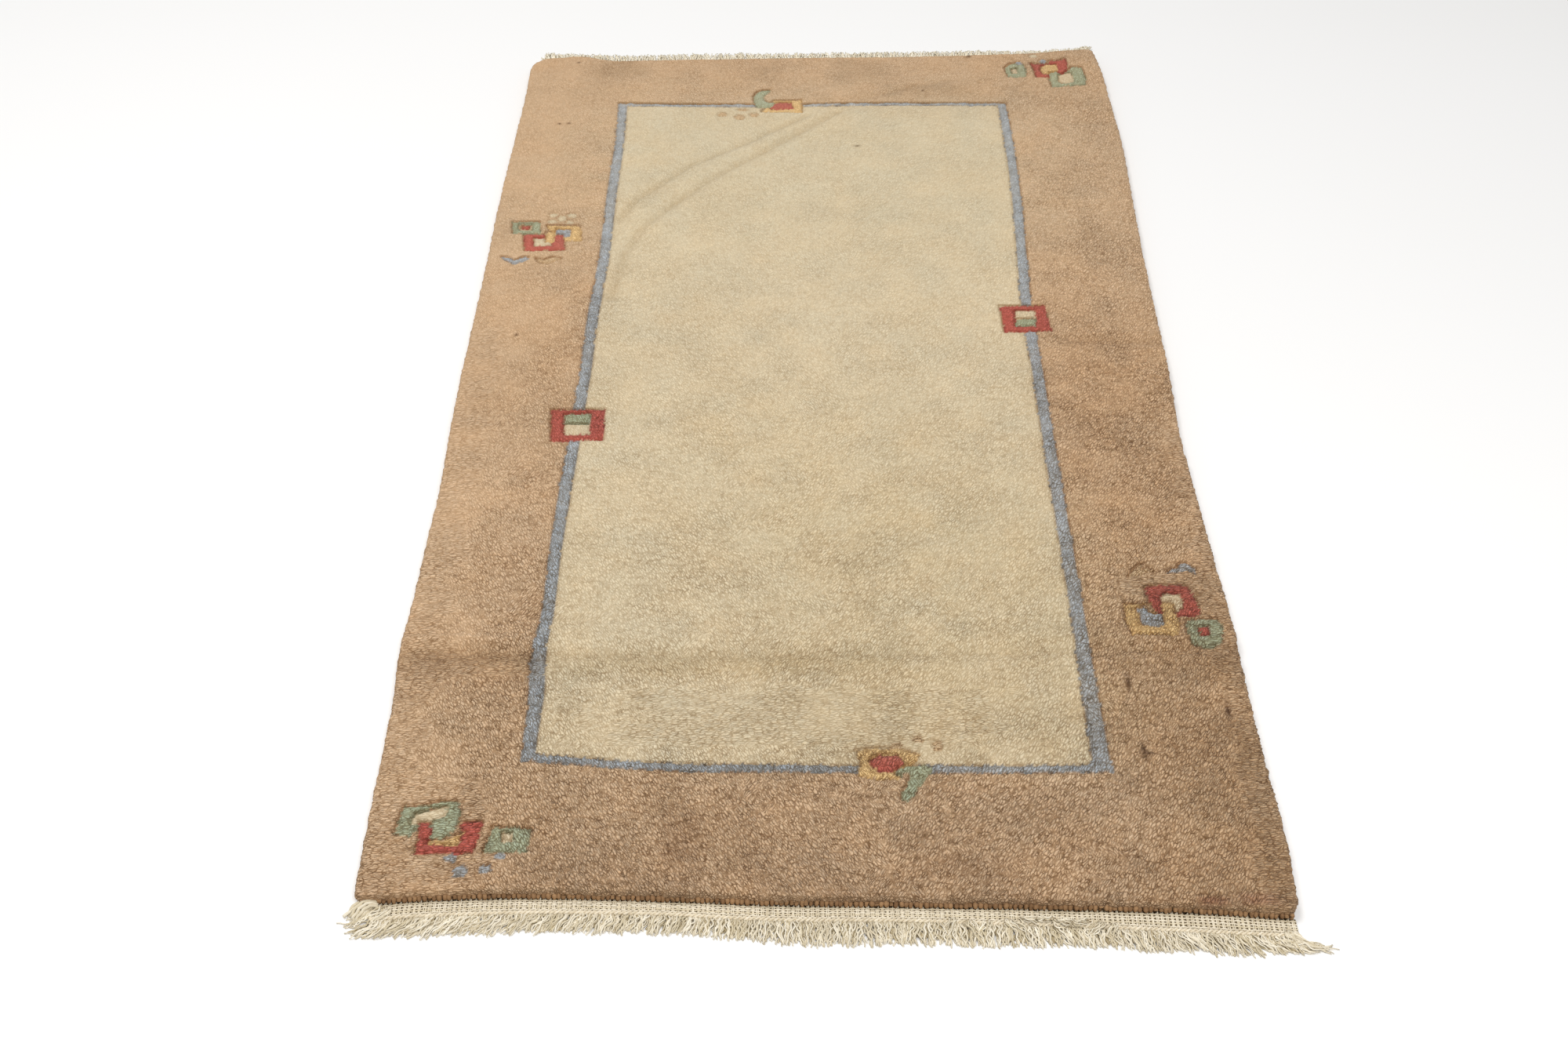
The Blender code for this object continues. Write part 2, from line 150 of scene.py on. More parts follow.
# The knotted pile: its outline
# The rug was woven on a straight chart, but its edges and line wander. These tables say where each
# really runs, and one function moves any point of the chart to its place on the rug.
CHART_ACROSS = (-0.350, -0.234, -0.222, 0.214, 0.226, 0.350)
CHART_ALONG = (-0.696, -0.558, -0.551, 0.560, 0.567, 0.690)
NEAR_LINE_WIDTH = 0.0084
NEAR_LINE_SHIFT = 0.0004
Side = namedtuple("Side", "y left right line_left line_right left_width right_width")
SIDES = tuple(map(Side._make, (
    (-0.700, -0.3490, 0.3530, -0.2380, 0.2266, 0.0108, 0.0140),
    (-0.620, -0.3500, 0.3556, -0.2380, 0.2300, 0.0108, 0.0155),
    (-0.540, -0.3503, 0.3535, -0.2388, 0.2300, 0.0108, 0.0155),
    (-0.470, -0.3512, 0.3528, -0.2400, 0.2286, 0.0126, 0.0138),
    (-0.428, -0.3542, 0.3533, -0.2425, 0.2282, 0.0125, 0.0130),
    (-0.370, -0.3526, 0.3536, -0.2384, 0.2280, 0.0102, 0.0126),
    (-0.300, -0.3514, 0.3513, -0.2396, 0.2274, 0.0106, 0.0124),
    (-0.195, -0.3494, 0.3485, -0.2385, 0.2262, 0.0112, 0.0122),
    (-0.100, -0.3513, 0.3466, -0.2368, 0.2254, 0.0114, 0.0118),
    (0.000, -0.3520, 0.3504, -0.2350, 0.2250, 0.0114, 0.0116),
    (0.110, -0.3512, 0.3512, -0.2345, 0.2236, 0.0112, 0.0114),
    (0.210, -0.3506, 0.3520, -0.2312, 0.2265, 0.0110, 0.0112),
    (0.330, -0.3507, 0.3550, -0.2320, 0.2305, 0.0108, 0.0110),
    (0.480, -0.3484, 0.3586, -0.2310, 0.2319, 0.0104, 0.0106),
    (0.590, -0.3466, 0.3564, -0.2336, 0.2299, 0.0103, 0.0104),
    (0.650, -0.3470, 0.3545, -0.2338, 0.2299, 0.0103, 0.0104),
    (0.700, -0.3475, 0.3490, -0.2338, 0.2299, 0.0103, 0.0104),
)))
End = namedtuple("End", "x near far line_near line_far near_web")
ENDS = tuple(map(End._make, (
    (-0.350, -0.6962, 0.6805, -0.5510, 0.5645, 0.0115),
    (-0.300, -0.6910, 0.6815, -0.5510, 0.5645, 0.0118),
    (-0.240, -0.6880, 0.6770, -0.5512, 0.5647, 0.0112),
    (-0.130, -0.6894, 0.6822, -0.5600, 0.5634, 0.0096),
    (-0.030, -0.6932, 0.6858, -0.5622, 0.5640, 0.0110),
    (0.060, -0.6940, 0.6890, -0.5624, 0.5680, 0.0102),
    (0.200, -0.6964, 0.6970, -0.5608, 0.5694, 0.0126),
    (0.270, -0.6982, 0.7005, -0.5598, 0.5697, 0.0140),
    (0.350, -0.7040, 0.7075, -0.5598, 0.5697, 0.0126),
)))
Corner = namedtuple("Corner", "side end radius")
CORNERS = (Corner(-1, -1, 0.006), Corner(1, -1, 0.012), Corner(-1, 1, 0.026), Corner(1, 1, 0.009))


def through(rows, column, at):
    """A table's named column read at any place along its first column, on one smooth curve."""
    xs = np.array([row[0] for row in rows])
    ys = np.array([getattr(row, column) for row in rows])
    slopes = np.gradient(ys, xs)
    at = np.clip(np.asarray(at, dtype=float), xs[0], xs[-1])
    i = np.clip(np.searchsorted(xs, at) - 1, 0, len(xs) - 2)
    span = xs[i + 1] - xs[i]
    t = (at - xs[i]) / span
    start = (2 * t**3 - 3 * t**2 + 1) * ys[i] + (t**3 - 2 * t**2 + t) * span * slopes[i]
    end = (3 * t**2 - 2 * t**3) * ys[i + 1] + (t**3 - t**2) * span * slopes[i + 1]
    return start + end


def stretched(chart, stations, value):
    """Move a chart value so that each of the chart's stations lands on its real place."""
    result = np.empty_like(value)
    for k in range(len(chart) - 1):
        inside = (value >= chart[k]) & (value <= chart[k + 1])
        share = (value - chart[k]) / (chart[k + 1] - chart[k])
        result = np.where(inside, stations[k] + share * (stations[k + 1] - stations[k]), result)
    return result


def on_the_rug(u, v, inset=0.0):
    """Real x and y of chart point (u, v), with the outline drawn in by inset and its corners round."""
    near_line = through(ENDS, "line_near", u)
    far_line = through(ENDS, "line_far", u)
    line = CHART_ALONG[2] - CHART_ALONG[1]
    stations = (through(ENDS, "near", u) + inset, near_line - NEAR_LINE_SHIFT, near_line + NEAR_LINE_WIDTH,
                far_line - line, far_line, through(ENDS, "far", u) - inset)
    y = stretched(CHART_ALONG, stations, v)
    left_line = through(SIDES, "line_left", y)
    right_line = through(SIDES, "line_right", y)
    left = through(SIDES, "left", y) + inset
    right = through(SIDES, "right", y) - inset
    stations = (left, left_line, left_line + through(SIDES, "left_width", y),
                right_line - through(SIDES, "right_width", y), right_line, right)
    x = stretched(CHART_ACROSS, stations, u)
    near = through(ENDS, "near", x) + inset
    far = through(ENDS, "far", x) - inset
    for side, end, radius in CORNERS:
        reach = radius - inset
        from_side = right - x if side > 0 else x - left
        from_end = far - y if end > 0 else y - near
        a = 1 - np.clip(from_side / reach, 0.0, 1.0)
        b = 1 - np.clip(from_end / reach, 0.0, 1.0)
        x = x - side * reach * a * (1 - np.sqrt(1 - b * b / 2))
        y = y - end * reach * b * (1 - np.sqrt(1 - a * a / 2))
    return x, y


DRIFT_LATTICE = 256


def drift(x, y, size, seed):
    """Slow random change from -1 to 1: a lattice of random heights, size apart, joined by smooth steps."""
    lattice = np.random.default_rng(seed).uniform(-1, 1, (DRIFT_LATTICE, DRIFT_LATTICE))
    across, along = x / size + 2 * DRIFT_LATTICE, y / size + 2 * DRIFT_LATTICE
    i, j = np.floor(across).astype(int), np.floor(along).astype(int)
    s, t = across - i, along - j
    s, t = s * s * (3 - 2 * s), t * t * (3 - 2 * t)
    i, j, next_i, next_j = (place % DRIFT_LATTICE for place in (i, j, i + 1, j + 1))
    near = lattice[i, j] * (1 - s) + lattice[next_i, j] * s
    far = lattice[i, next_j] * (1 - s) + lattice[next_i, next_j] * s
    return near * (1 - t) + far * t


# The knotted pile: its folds
# Rolling and folding have left soft creases, a slight general waviness and one lifted corner.
PILE_HEIGHT = 0.013
UNEVENNESS = 0.0005
# A fold's shade is painted shade along its path; a shade below 0 is a painted highlight on a ridge. The last
# two paint the shadow along the far line's carved edge.
Fold = namedtuple("Fold", "rise half_width shade places")
FOLDS = (
    Fold(0.0013, 0.014, 0.00, ((-0.352, -0.408), (0.352, -0.394))),
    Fold(-0.0022, 0.008, 0.08, ((-0.354, -0.422), (-0.188, -0.424), (0.060, -0.421), (0.352, -0.412))),
    Fold(-0.0012, 0.010, 0.17, ((-0.354, -0.440), (-0.335, -0.431), (-0.300, -0.428), (-0.240, -0.431))),
    Fold(0.0012, 0.0034, -0.07, ((-0.354, -0.424), (-0.343, -0.409), (-0.310, -0.406), (-0.240, -0.411))),
    Fold(-0.0026, 0.005, 0.13, ((-0.011, 0.533), (-0.078, 0.468), (-0.142, 0.412), (-0.198, 0.335),
                                (-0.214, 0.292))),
    Fold(0.0016, 0.009, 0.00, ((0.006, 0.535), (-0.058, 0.467), (-0.128, 0.396), (-0.190, 0.312))),
    Fold(-0.0026, 0.005, 0.13, ((0.029, 0.545), (-0.038, 0.469), (-0.118, 0.381), (-0.184, 0.283),
                                (-0.203, 0.227), (-0.213, 0.131))),
    Fold(0.0014, 0.009, 0.00, ((0.044, 0.540), (-0.022, 0.464), (-0.102, 0.374), (-0.168, 0.276))),
    Fold(-0.0009, 0.020, 0.03, ((-0.213, 0.131), (-0.190, -0.060))),
    Fold(-0.0016, 0.007, 0.09, ((0.059, 0.578), (0.120, 0.612), (0.175, 0.630))),
    Fold(-0.0018, 0.008, 0.12, ((0.253, 0.059), (0.284, 0.054), (0.344, 0.055))),
    Fold(0.0010, 0.014, 0.00, ((-0.354, -0.100), (-0.300, -0.094))),
    Fold(0.0026, 0.020, 0.00, ((-0.290, 0.620), (-0.284, 0.700))),
    Fold(-0.0014, 0.018, 0.05, ((-0.243, 0.630), (-0.240, 0.700))),
    Fold(0.0045, 0.045, 0.00, ((0.352, 0.720), (0.340, 0.690))),
    Fold(0.0013, 0.020, 0.00, ((-0.350, 0.692), (0.300, 0.700))),
    Fold(-0.0008, 0.0020, 0.45, ((-0.233, 0.5660), (-0.130, 0.5648), (-0.076, 0.5650))),
    Fold(-0.0008, 0.0020, 0.45, ((-0.012, 0.5656), (0.060, 0.5692), (0.200, 0.5706), (0.228, 0.5708))),
)
Wave = namedtuple("Wave", "across along phase share")
WAVES = (Wave(23.0, -11.0, 2.5, 0.5), Wave(23.0, 11.0, 0.1, 0.5), Wave(-9.0, 17.0, 0.0, 0.6))


def along_fold(fold, x, y):
    """1 on the path of a fold, falling off to each side of it like a bell."""
    nearest = np.full(np.shape(x), np.inf)
    for (x0, y0), (x1, y1) in zip(fold.places, fold.places[1:]):
        ex, ey = x1 - x0, y1 - y0
        t = np.clip(((x - x0) * ex + (y - y0) * ey) / (ex * ex + ey * ey), 0.0, 1.0)
        nearest = np.minimum(nearest, (x - x0 - t * ex) ** 2 + (y - y0 - t * ey) ** 2)
    return np.exp(-nearest / fold.half_width**2)


def fold_height(x, y):
    """Rise of the pile's top over its mean height: the waves and the folds together."""
    waves = sum(wave.share * np.sin(wave.across * x + wave.along * y + wave.phase) for wave in WAVES)
    return UNEVENNESS * waves + sum(fold.rise * along_fold(fold, x, y) for fold in FOLDS)


# The knotted pile: its design
# Yarns of seven colours are knotted in plain bars, rings, hooks and dots. Each block is 4 to 14 corners
# in millimetres across and along the rug, most of them read off the photo, and a later block
# lies over an earlier one.
TAN, CREAM, BLUE, RED, GREEN, YELLOW, STRAW = range(7)
YARN_COLOURS = ("#D2B18D", "#D6C5A5", "#A8ACAF", "#BC5F52", "#ABB092", "#E3BD83", "#CFB089")
Block = namedtuple("Block", "yarn corners")
BLOCKS = (
    # Near left: two green hooks, a red cup with a yellow fill, and a green square
    Block(GREEN, ((-328, -632), (-315, -634), (-309, -619), (-303, -612), (-303, -601), (-324, -603))),
    Block(GREEN, ((-304, -598), (-283, -596), (-279, -606), (-279, -618), (-283, -632), (-291, -636),
                  (-300, -635), (-301, -622), (-297, -612))),
    Block(CREAM, ((-317, -622), (-314, -611), (-303, -606), (-290, -602), (-290, -611), (-300, -616),
                  (-308, -621))),
    Block(RED, ((-310, -619), (-302, -619), (-299, -628), (-300, -641), (-278, -643), (-275, -632),
                (-279, -619), (-260, -618), (-262, -633), (-265, -651), (-309, -652), (-308, -636))),
    Block(YELLOW, ((-300, -642), (-278, -643), (-275, -630), (-283, -634), (-290, -638), (-300, -637))),
    Block(GREEN, ((-253, -623), (-222, -625), (-224, -649), (-257, -650))),
    Block(CREAM, ((-245, -629), (-237, -630), (-236, -638), (-243, -639))),
    # Left, towards the far end: green bar, red and yellow rings linked, blue and straw ripples
    Block(GREEN, ((-331, 284), (-300, 285), (-298, 261), (-328, 260))),
    Block(TAN, ((-323, 279), (-308, 279), (-308, 267), (-322, 267))),
    Block(RED, ((-319, 276), (-311, 276), (-311, 270), (-319, 270))),
    Block(YELLOW, ((-293, 278), (-256, 277), (-252, 246), (-270, 244), (-282, 252))),
    Block(BLUE, ((-282, 270), (-265, 268), (-266, 255), (-276, 253), (-281, 260))),
    Block(RED, ((-316, 259), (-273, 258), (-268, 226), (-312, 224))),
    Block(CREAM, ((-304, 250), (-286, 249), (-284, 235), (-302, 234))),
    Block(YELLOW, ((-292, 264), (-282, 264), (-282, 243), (-291, 242))),
    Block(BLUE, ((-336, 212), (-328, 211), (-320, 204), (-312, 211), (-305, 211), (-310, 203), (-320, 197),
                 (-329, 203))),
    Block(STRAW, ((-299, 210), (-289, 206), (-280, 212), (-270, 209), (-277, 204), (-285, 197),
                  (-295, 201))),
    # On the line at the left, and at the right: a red ring with a fill of two halves
    Block(RED, ((-257, -70), (-205, -69), (-203, -119), (-253, -122))),
    Block(GREEN, ((-243, -77), (-218, -77), (-218, -93), (-243, -94))),
    Block(CREAM, ((-243, -94), (-218, -93), (-217, -111), (-241, -111))),
    Block(RED, ((190, 120), (237, 121), (240, 74), (192, 71))),
    Block(CREAM, ((205, 111), (226, 111), (226, 97), (205, 96))),
    Block(GREEN, ((205, 96), (226, 97), (225, 83), (204, 82))),
    # Right, towards the near end: the left design turned round
    Block(STRAW, ((271, -318), (276, -309), (282, -301), (287, -299), (284, -307), (290, -305), (295, -310),
                  (288, -312), (280, -315))),
    Block(BLUE, ((306, -313), (311, -306), (316, -306), (319, -298), (325, -298), (332, -308), (331, -314),
                 (324, -308), (315, -311))),
    Block(YELLOW, ((263, -355), (277, -354), (294, -355), (297, -347), (307, -353), (308, -380),
                   (304, -397), (265, -396), (262, -378))),
    Block(TAN, ((277, -361), (294, -369), (294, -356), (278, -355))),
    Block(BLUE, ((273, -361), (280, -359), (284, -367), (294, -368), (295, -380), (290, -385), (276, -384),
                 (275, -375))),
    Block(RED, ((283, -332), (297, -329), (321, -330), (324, -341), (328, -362), (326, -370), (307, -371),
                (290, -366), (285, -352))),
    Block(CREAM, ((295, -346), (301, -340), (311, -341), (315, -351), (313, -360), (308, -365), (304, -356),
                  (296, -353))),
    Block(YELLOW, ((295, -353), (305, -352), (307, -375), (295, -375))),
    Block(GREEN, ((313, -376), (341, -374), (344, -389), (340, -406), (328, -411), (315, -407),
                  (312, -394))),
    Block(RED, ((322, -386), (331, -385), (331, -396), (323, -398))),
    # On the line at the near end: a yellow block with a red heart, and a green sprig
    Block(YELLOW, ((28, -538), (45, -535), (64, -536), (79, -542), (74, -552), (61, -560), (62, -569),
                   (47, -571), (28, -567), (31, -554))),
    Block(RED, ((38, -548), (46, -543), (61, -543), (66, -550), (61, -559), (53, -562), (44, -561),
                (39, -554))),
    Block(GREEN, ((58, -564), (61, -557), (70, -554), (82, -554), (88, -558), (82, -569), (75, -580),
                  (72, -590), (65, -595), (61, -589), (67, -575), (71, -564), (66, -562), (62, -568))),
    # On the line at the far end: the same, turned round
    Block(YELLOW, ((-47, 573), (-14, 574), (-13, 543), (-62, 544), (-57, 556))),
    Block(RED, ((-52, 556), (-46, 567), (-26, 568), (-23, 552), (-49, 549))),
    Block(GREEN, ((-72, 583), (-68, 595), (-60, 600), (-51, 600), (-54, 593), (-59, 587), (-59, 576),
                  (-54, 568), (-47, 569), (-47, 562), (-54, 556), (-66, 554), (-70, 563))),
    # Far right: the near left design turned round
    Block(GREEN, ((235, 661), (242, 672), (251, 675), (260, 670), (262, 658), (261, 639), (250, 636),
                  (239, 637))),
    Block(CREAM, ((244, 658), (251, 660), (250, 647), (244, 646))),
    Block(RED, ((268, 675), (275, 671), (290, 672), (290, 678), (303, 677), (312, 682), (313, 665),
                (311, 646), (302, 643), (286, 636), (273, 636), (271, 658))),
    Block(YELLOW, ((281, 664), (287, 669), (300, 668), (301, 654), (296, 645), (282, 645), (279, 654))),
    Block(GREEN, ((289, 648), (299, 650), (304, 643), (314, 655), (317, 661), (331, 658), (333, 630),
                  (331, 618), (311, 614), (290, 611), (288, 628))),
    Block(CREAM, ((300, 641), (307, 645), (316, 646), (318, 628), (311, 622), (303, 620), (299, 625))),
)
Dot = namedtuple("Dot", "yarn x y half_across half_along")
DOTS = (
    Dot(BLUE, -280.5, -656.0, 5.0, 4.0), Dot(BLUE, -272.5, -669.5, 6.0, 5.5),
    Dot(BLUE, -253.5, -667.5, 5.0, 4.0), Dot(BLUE, -244.0, -653.5, 4.5, 3.5),
    Dot(CREAM, -287.5, 298.5, 4.5, 4.0), Dot(CREAM, -277.0, 292.0, 5.0, 5.5),
    Dot(CREAM, -267.0, 298.5, 5.0, 4.0), Dot(CREAM, -287.5, 285.0, 4.5, 3.5),
    Dot(CREAM, -268.5, 284.0, 4.0, 3.5), Dot(STRAW, 60.0, -533.0, 4.5, 4.5),
    Dot(STRAW, 78.0, -524.5, 4.0, 4.0), Dot(STRAW, 93.5, -532.5, 4.0, 5.5),
    Dot(STRAW, -108.0, 536.0, 5.5, 5.0), Dot(STRAW, -87.0, 529.5, 6.0, 5.5),
    Dot(STRAW, -70.5, 535.5, 5.5, 4.5), Dot(STRAW, -84.0, 548.0, 6.5, 2.5),
    Dot(BLUE, 254.0, 674.0, 4.0, 4.5), Dot(BLUE, 284.0, 677.0, 4.5, 4.5),
    Dot(CREAM, 273.0, 690.0, 5.0, 4.0),
)
DOT_SHAPE = ((-1.05, 0.1), (-0.6, -1.0), (0.5, -0.95), (1.1, -0.1), (0.6, 0.95), (-0.5, 1.05))
CARVING_DEPTH = 0.0022
CARVING_HALF_WIDTH_MM = 1.3
SHADED_SIDE_MM = (0.9, -1.2)
LINE_WANDER_MM = 0.7
LINE_CARVING = 0.8
LINE_SHADE = 0.75
LINE_SHADE_DRIFT = 0.6
DOT_CARVING = 0.45
BLOCK_MARGIN_MM = 5
SHADOW_INSIDE_MM = 0.4
SHADE_INSIDE = 0.35


def inside_by(corners, x, y):
    """Distance in from a block's outline, negative outside: nearest edge, signed by edge crossings."""
    nearest = np.full(x.shape, np.inf)
    inside = np.zeros(x.shape, dtype=bool)
    for (ax, ay), (bx, by) in zip(corners, corners[1:] + corners[:1]):
        ex, ey = bx - ax, by - ay
        t = np.clip(((x - ax) * ex + (y - ay) * ey) / (ex * ex + ey * ey), 0.0, 1.0)
        nearest = np.minimum(nearest, np.hypot(x - ax - t * ex, y - ay - t * ey))
        if ey:
            inside ^= ((ay > y) != (by > y)) & (x < ex * (y - ay) / ey + ax)
    return np.where(inside, nearest, -nearest)


def knotted_chart(u, v, x, y):
    """The yarn at each point, how deep it is carved, and how much painted shade the carving gets, from 0 to
    1.

    The tan border, the line and the field come from the straight chart, and the blocks and dots from
    their real places. A block laid over another hides the carving beneath it. The nap lies over the
    near and right sides of a cut, so its painted shadow shows dark beyond a block and to the left of it.
    """
    across = np.maximum(CHART_ACROSS[1] - u, u - CHART_ACROSS[-2])
    along = np.maximum(CHART_ALONG[1] - v, v - CHART_ALONG[-2])
    wander = LINE_WANDER_MM * drift(x, y, 0.0055, 42)
    outside_line = 1000 * np.maximum(across, along) + wander
    across = np.maximum(CHART_ACROSS[2] - u, u - CHART_ACROSS[-3])
    along = np.maximum(CHART_ALONG[2] - v, v - CHART_ALONG[-3])
    outside_field = 1000 * np.maximum(across, along) - wander
    yarn = np.where(outside_line > 0, TAN, np.where(outside_field > 0, BLUE, CREAM))
    edge = np.minimum(np.abs(outside_line), np.abs(outside_field))
    carved = LINE_CARVING * np.exp(-(edge / CARVING_HALF_WIDTH_MM) ** 2)
    shaded = carved * (LINE_SHADE + LINE_SHADE_DRIFT * drift(x, y, 0.009, 41))
    x_mm, y_mm = 1000 * x, 1000 * y
    dots = []
    for dot in DOTS:
        corners = tuple((dot.x + p * dot.half_across, dot.y + q * dot.half_along) for p, q in DOT_SHAPE)
        dots.append(Block(dot.yarn, corners))
    for block in (*BLOCKS, *dots):
        strength = DOT_CARVING if block in dots else 1.0
        low = np.min(block.corners, axis=0) - BLOCK_MARGIN_MM
        high = np.max(block.corners, axis=0) + BLOCK_MARGIN_MM
        at = np.nonzero((x_mm > low[0]) & (x_mm < high[0]) & (y_mm > low[1]) & (y_mm < high[1]))
        depth = inside_by(block.corners, x_mm[at], y_mm[at])
        aside = inside_by(block.corners, x_mm[at] + SHADED_SIDE_MM[0], y_mm[at] + SHADED_SIDE_MM[1])
        groove = strength * np.exp(-(depth / CARVING_HALF_WIDTH_MM) ** 2)
        shadow = np.exp(-(aside / CARVING_HALF_WIDTH_MM) ** 2)
        shadow = strength * np.where(depth < SHADOW_INSIDE_MM, shadow, 0.0)
        yarn[at] = np.where(depth > 0, block.yarn, yarn[at])
        carved[at] = np.where(depth > 0, groove, np.maximum(carved[at], groove))
        shaded[at] = np.maximum(np.where(depth > 0, SHADE_INSIDE * groove, shaded[at]), shadow)
    return yarn, carved, shaded


# The knotted pile: its locks of wool
# Each knot's cut ends felt into locks, which lie over the way that use has combed them: upright in
# the middle, slanting to either side of it, and almost flat along the sides and below the crease.
LOCK_ACROSS = 0.0029
LOCK_ALONG = 0.0036
LOCK_HALF_WIDTH = 0.0014
LOCK_HALF_LENGTH = 0.0030
LOCK_RISE = 0.00068
LOCK_REACH = 2
LOCKS_ACROSS = 300
LOCKS_ALONG = 460
LOCK_START = (-0.43, -0.80)
LOCK_SCATTER = 0.42
LOCK_TALLER = 0.35
MOST_LIFT = 0.6
LEAST_LIFT = -1.5
COMBED_SLANT = math.radians(30)
COMBED_FLAT = math.radians(80)
SLANT_DRIFT = math.radians(28)
SLANT_JITTER = math.radians(16)
SLANT_FULL_AT = 0.12
SLANT_FADES_OVER = 0.3
LEAST_SLANT = 0.3
COMBED_DRIFT_SHARE = 0.4
LEAN_SHARPNESS = 2.0
COMBED_SHARPNESS = 3.0
COMBED_FROM = 0.45
COMBED_DRIFT = 0.35
Combed = namedtuple("Combed", "x y half_across half_along")
COMBED_FLAT_AT = (
    Combed(-0.352, -0.260, 0.045, 0.420),
    Combed(-0.300, -0.640, 0.060, 0.070),
    Combed(0.354, -0.450, 0.032, 0.420),
    Combed(-0.020, -0.500, 0.210, 0.042),
    Combed(-0.290, -0.440, 0.070, 0.016),
    Combed(0.290, -0.330, 0.040, 0.020),
)


def soft_patch(x, y, patch):
    """1 in the middle of an oval patch, falling smoothly to 0 outside it."""
    return np.exp(-((x - patch.x) / patch.half_across) ** 4 - ((y - patch.y) / patch.half_along) ** 4)


def combed_slant(x, y):
    """Angle of the locks from the rug's length, clockwise: a slant to each side, flat where combed."""
    fade = np.clip(1 + LEAST_SLANT - np.abs(x) / SLANT_FADES_OVER, LEAST_SLANT, 1.0)
    slant = COMBED_SLANT * np.clip(x / SLANT_FULL_AT, -1.0, 1.0) * fade
    slant = slant + SLANT_DRIFT * drift(x, y, 0.060, 11)
    for patch in COMBED_FLAT_AT:
        share = soft_patch(x, y, patch)
        flat_slant = COMBED_FLAT + COMBED_DRIFT_SHARE * SLANT_DRIFT * drift(x, y, 0.015, 12)
        slant = slant * (1 - share) + share * flat_slant
    return slant


def nap_lies(x, y):
    """How the nap lies, as two shares: how far it leans to the right, and how far it is combed flat."""
    slant = COMBED_SLANT * np.clip(x / SLANT_FULL_AT, -1.0, 1.0) + SLANT_DRIFT * drift(x, y, 0.060, 11)
    slant = slant + SLANT_DRIFT * drift(x, y, 0.014, 15)
    right = np.clip(0.5 + LEAN_SHARPNESS * slant / COMBED_SLANT, 0.0, 1.0)
    flattened = sum(soft_patch(x, y, patch) for patch in COMBED_FLAT_AT)
    flattened = flattened - COMBED_FROM + COMBED_DRIFT * drift(x, y, 0.016, 16)
    flattened = np.clip(COMBED_SHARPNESS * flattened, 0.0, 1.0)
    return np.stack([right, flattened, 0 * right], axis=-1)


chance = np.random.default_rng(7)
lock_place = chance.uniform(-LOCK_SCATTER, LOCK_SCATTER, (2, LOCKS_ACROSS, LOCKS_ALONG))
lock_u = LOCK_START[0] + (np.arange(LOCKS_ACROSS)[:, None] + 0.5 + lock_place[0]) * LOCK_ACROSS
lock_v = LOCK_START[1] + (np.arange(LOCKS_ALONG)[None, :] + 0.5 + lock_place[1]) * LOCK_ALONG
lock_slant = combed_slant(lock_u, lock_v) + SLANT_JITTER * chance.uniform(-1, 1, lock_u.shape)
lock_tall = chance.uniform(-LOCK_TALLER, LOCK_TALLER, lock_u.shape)
lock_tall = lock_tall + LOCK_TALLER * drift(lock_u, lock_v, 0.011, 13)
lock_tone = chance.uniform(-1, 1, (3, LOCKS_ACROSS, LOCKS_ALONG))


def locks(u, v):
    """Lift of the wool at chart points, and the lock that lies there.

    A lock is a dome, its lift falling off with the square of the distance, more slowly along the lock
    than across it. The surface is the highest dome at each point, so locks meet in creases.
    """
    column = np.floor((u - LOCK_START[0]) / LOCK_ACROSS).astype(int)
    row = np.floor((v - LOCK_START[1]) / LOCK_ALONG).astype(int)
    lift = np.full(u.shape, -np.inf)
    owner = np.zeros(u.shape, dtype=int)
    for step_across in range(-LOCK_REACH, LOCK_REACH + 1):
        for step_along in range(-LOCK_REACH, LOCK_REACH + 1):
            i, j = column + step_across, row + step_along
            du, dv = u - lock_u[i, j], v - lock_v[i, j]
            sine, cosine = np.sin(lock_slant[i, j]), np.cos(lock_slant[i, j])
            along = (du * sine + dv * cosine) / LOCK_HALF_LENGTH
            aside = (du * cosine - dv * sine) / LOCK_HALF_WIDTH
            dome = lock_tall[i, j] - along**2 - aside**2
            higher = dome > lift
            lift = np.where(higher, dome, lift)
            owner = np.where(higher, i * LOCKS_ALONG + j, owner)
    return np.clip(lift, LEAST_LIFT, MOST_LIFT), owner
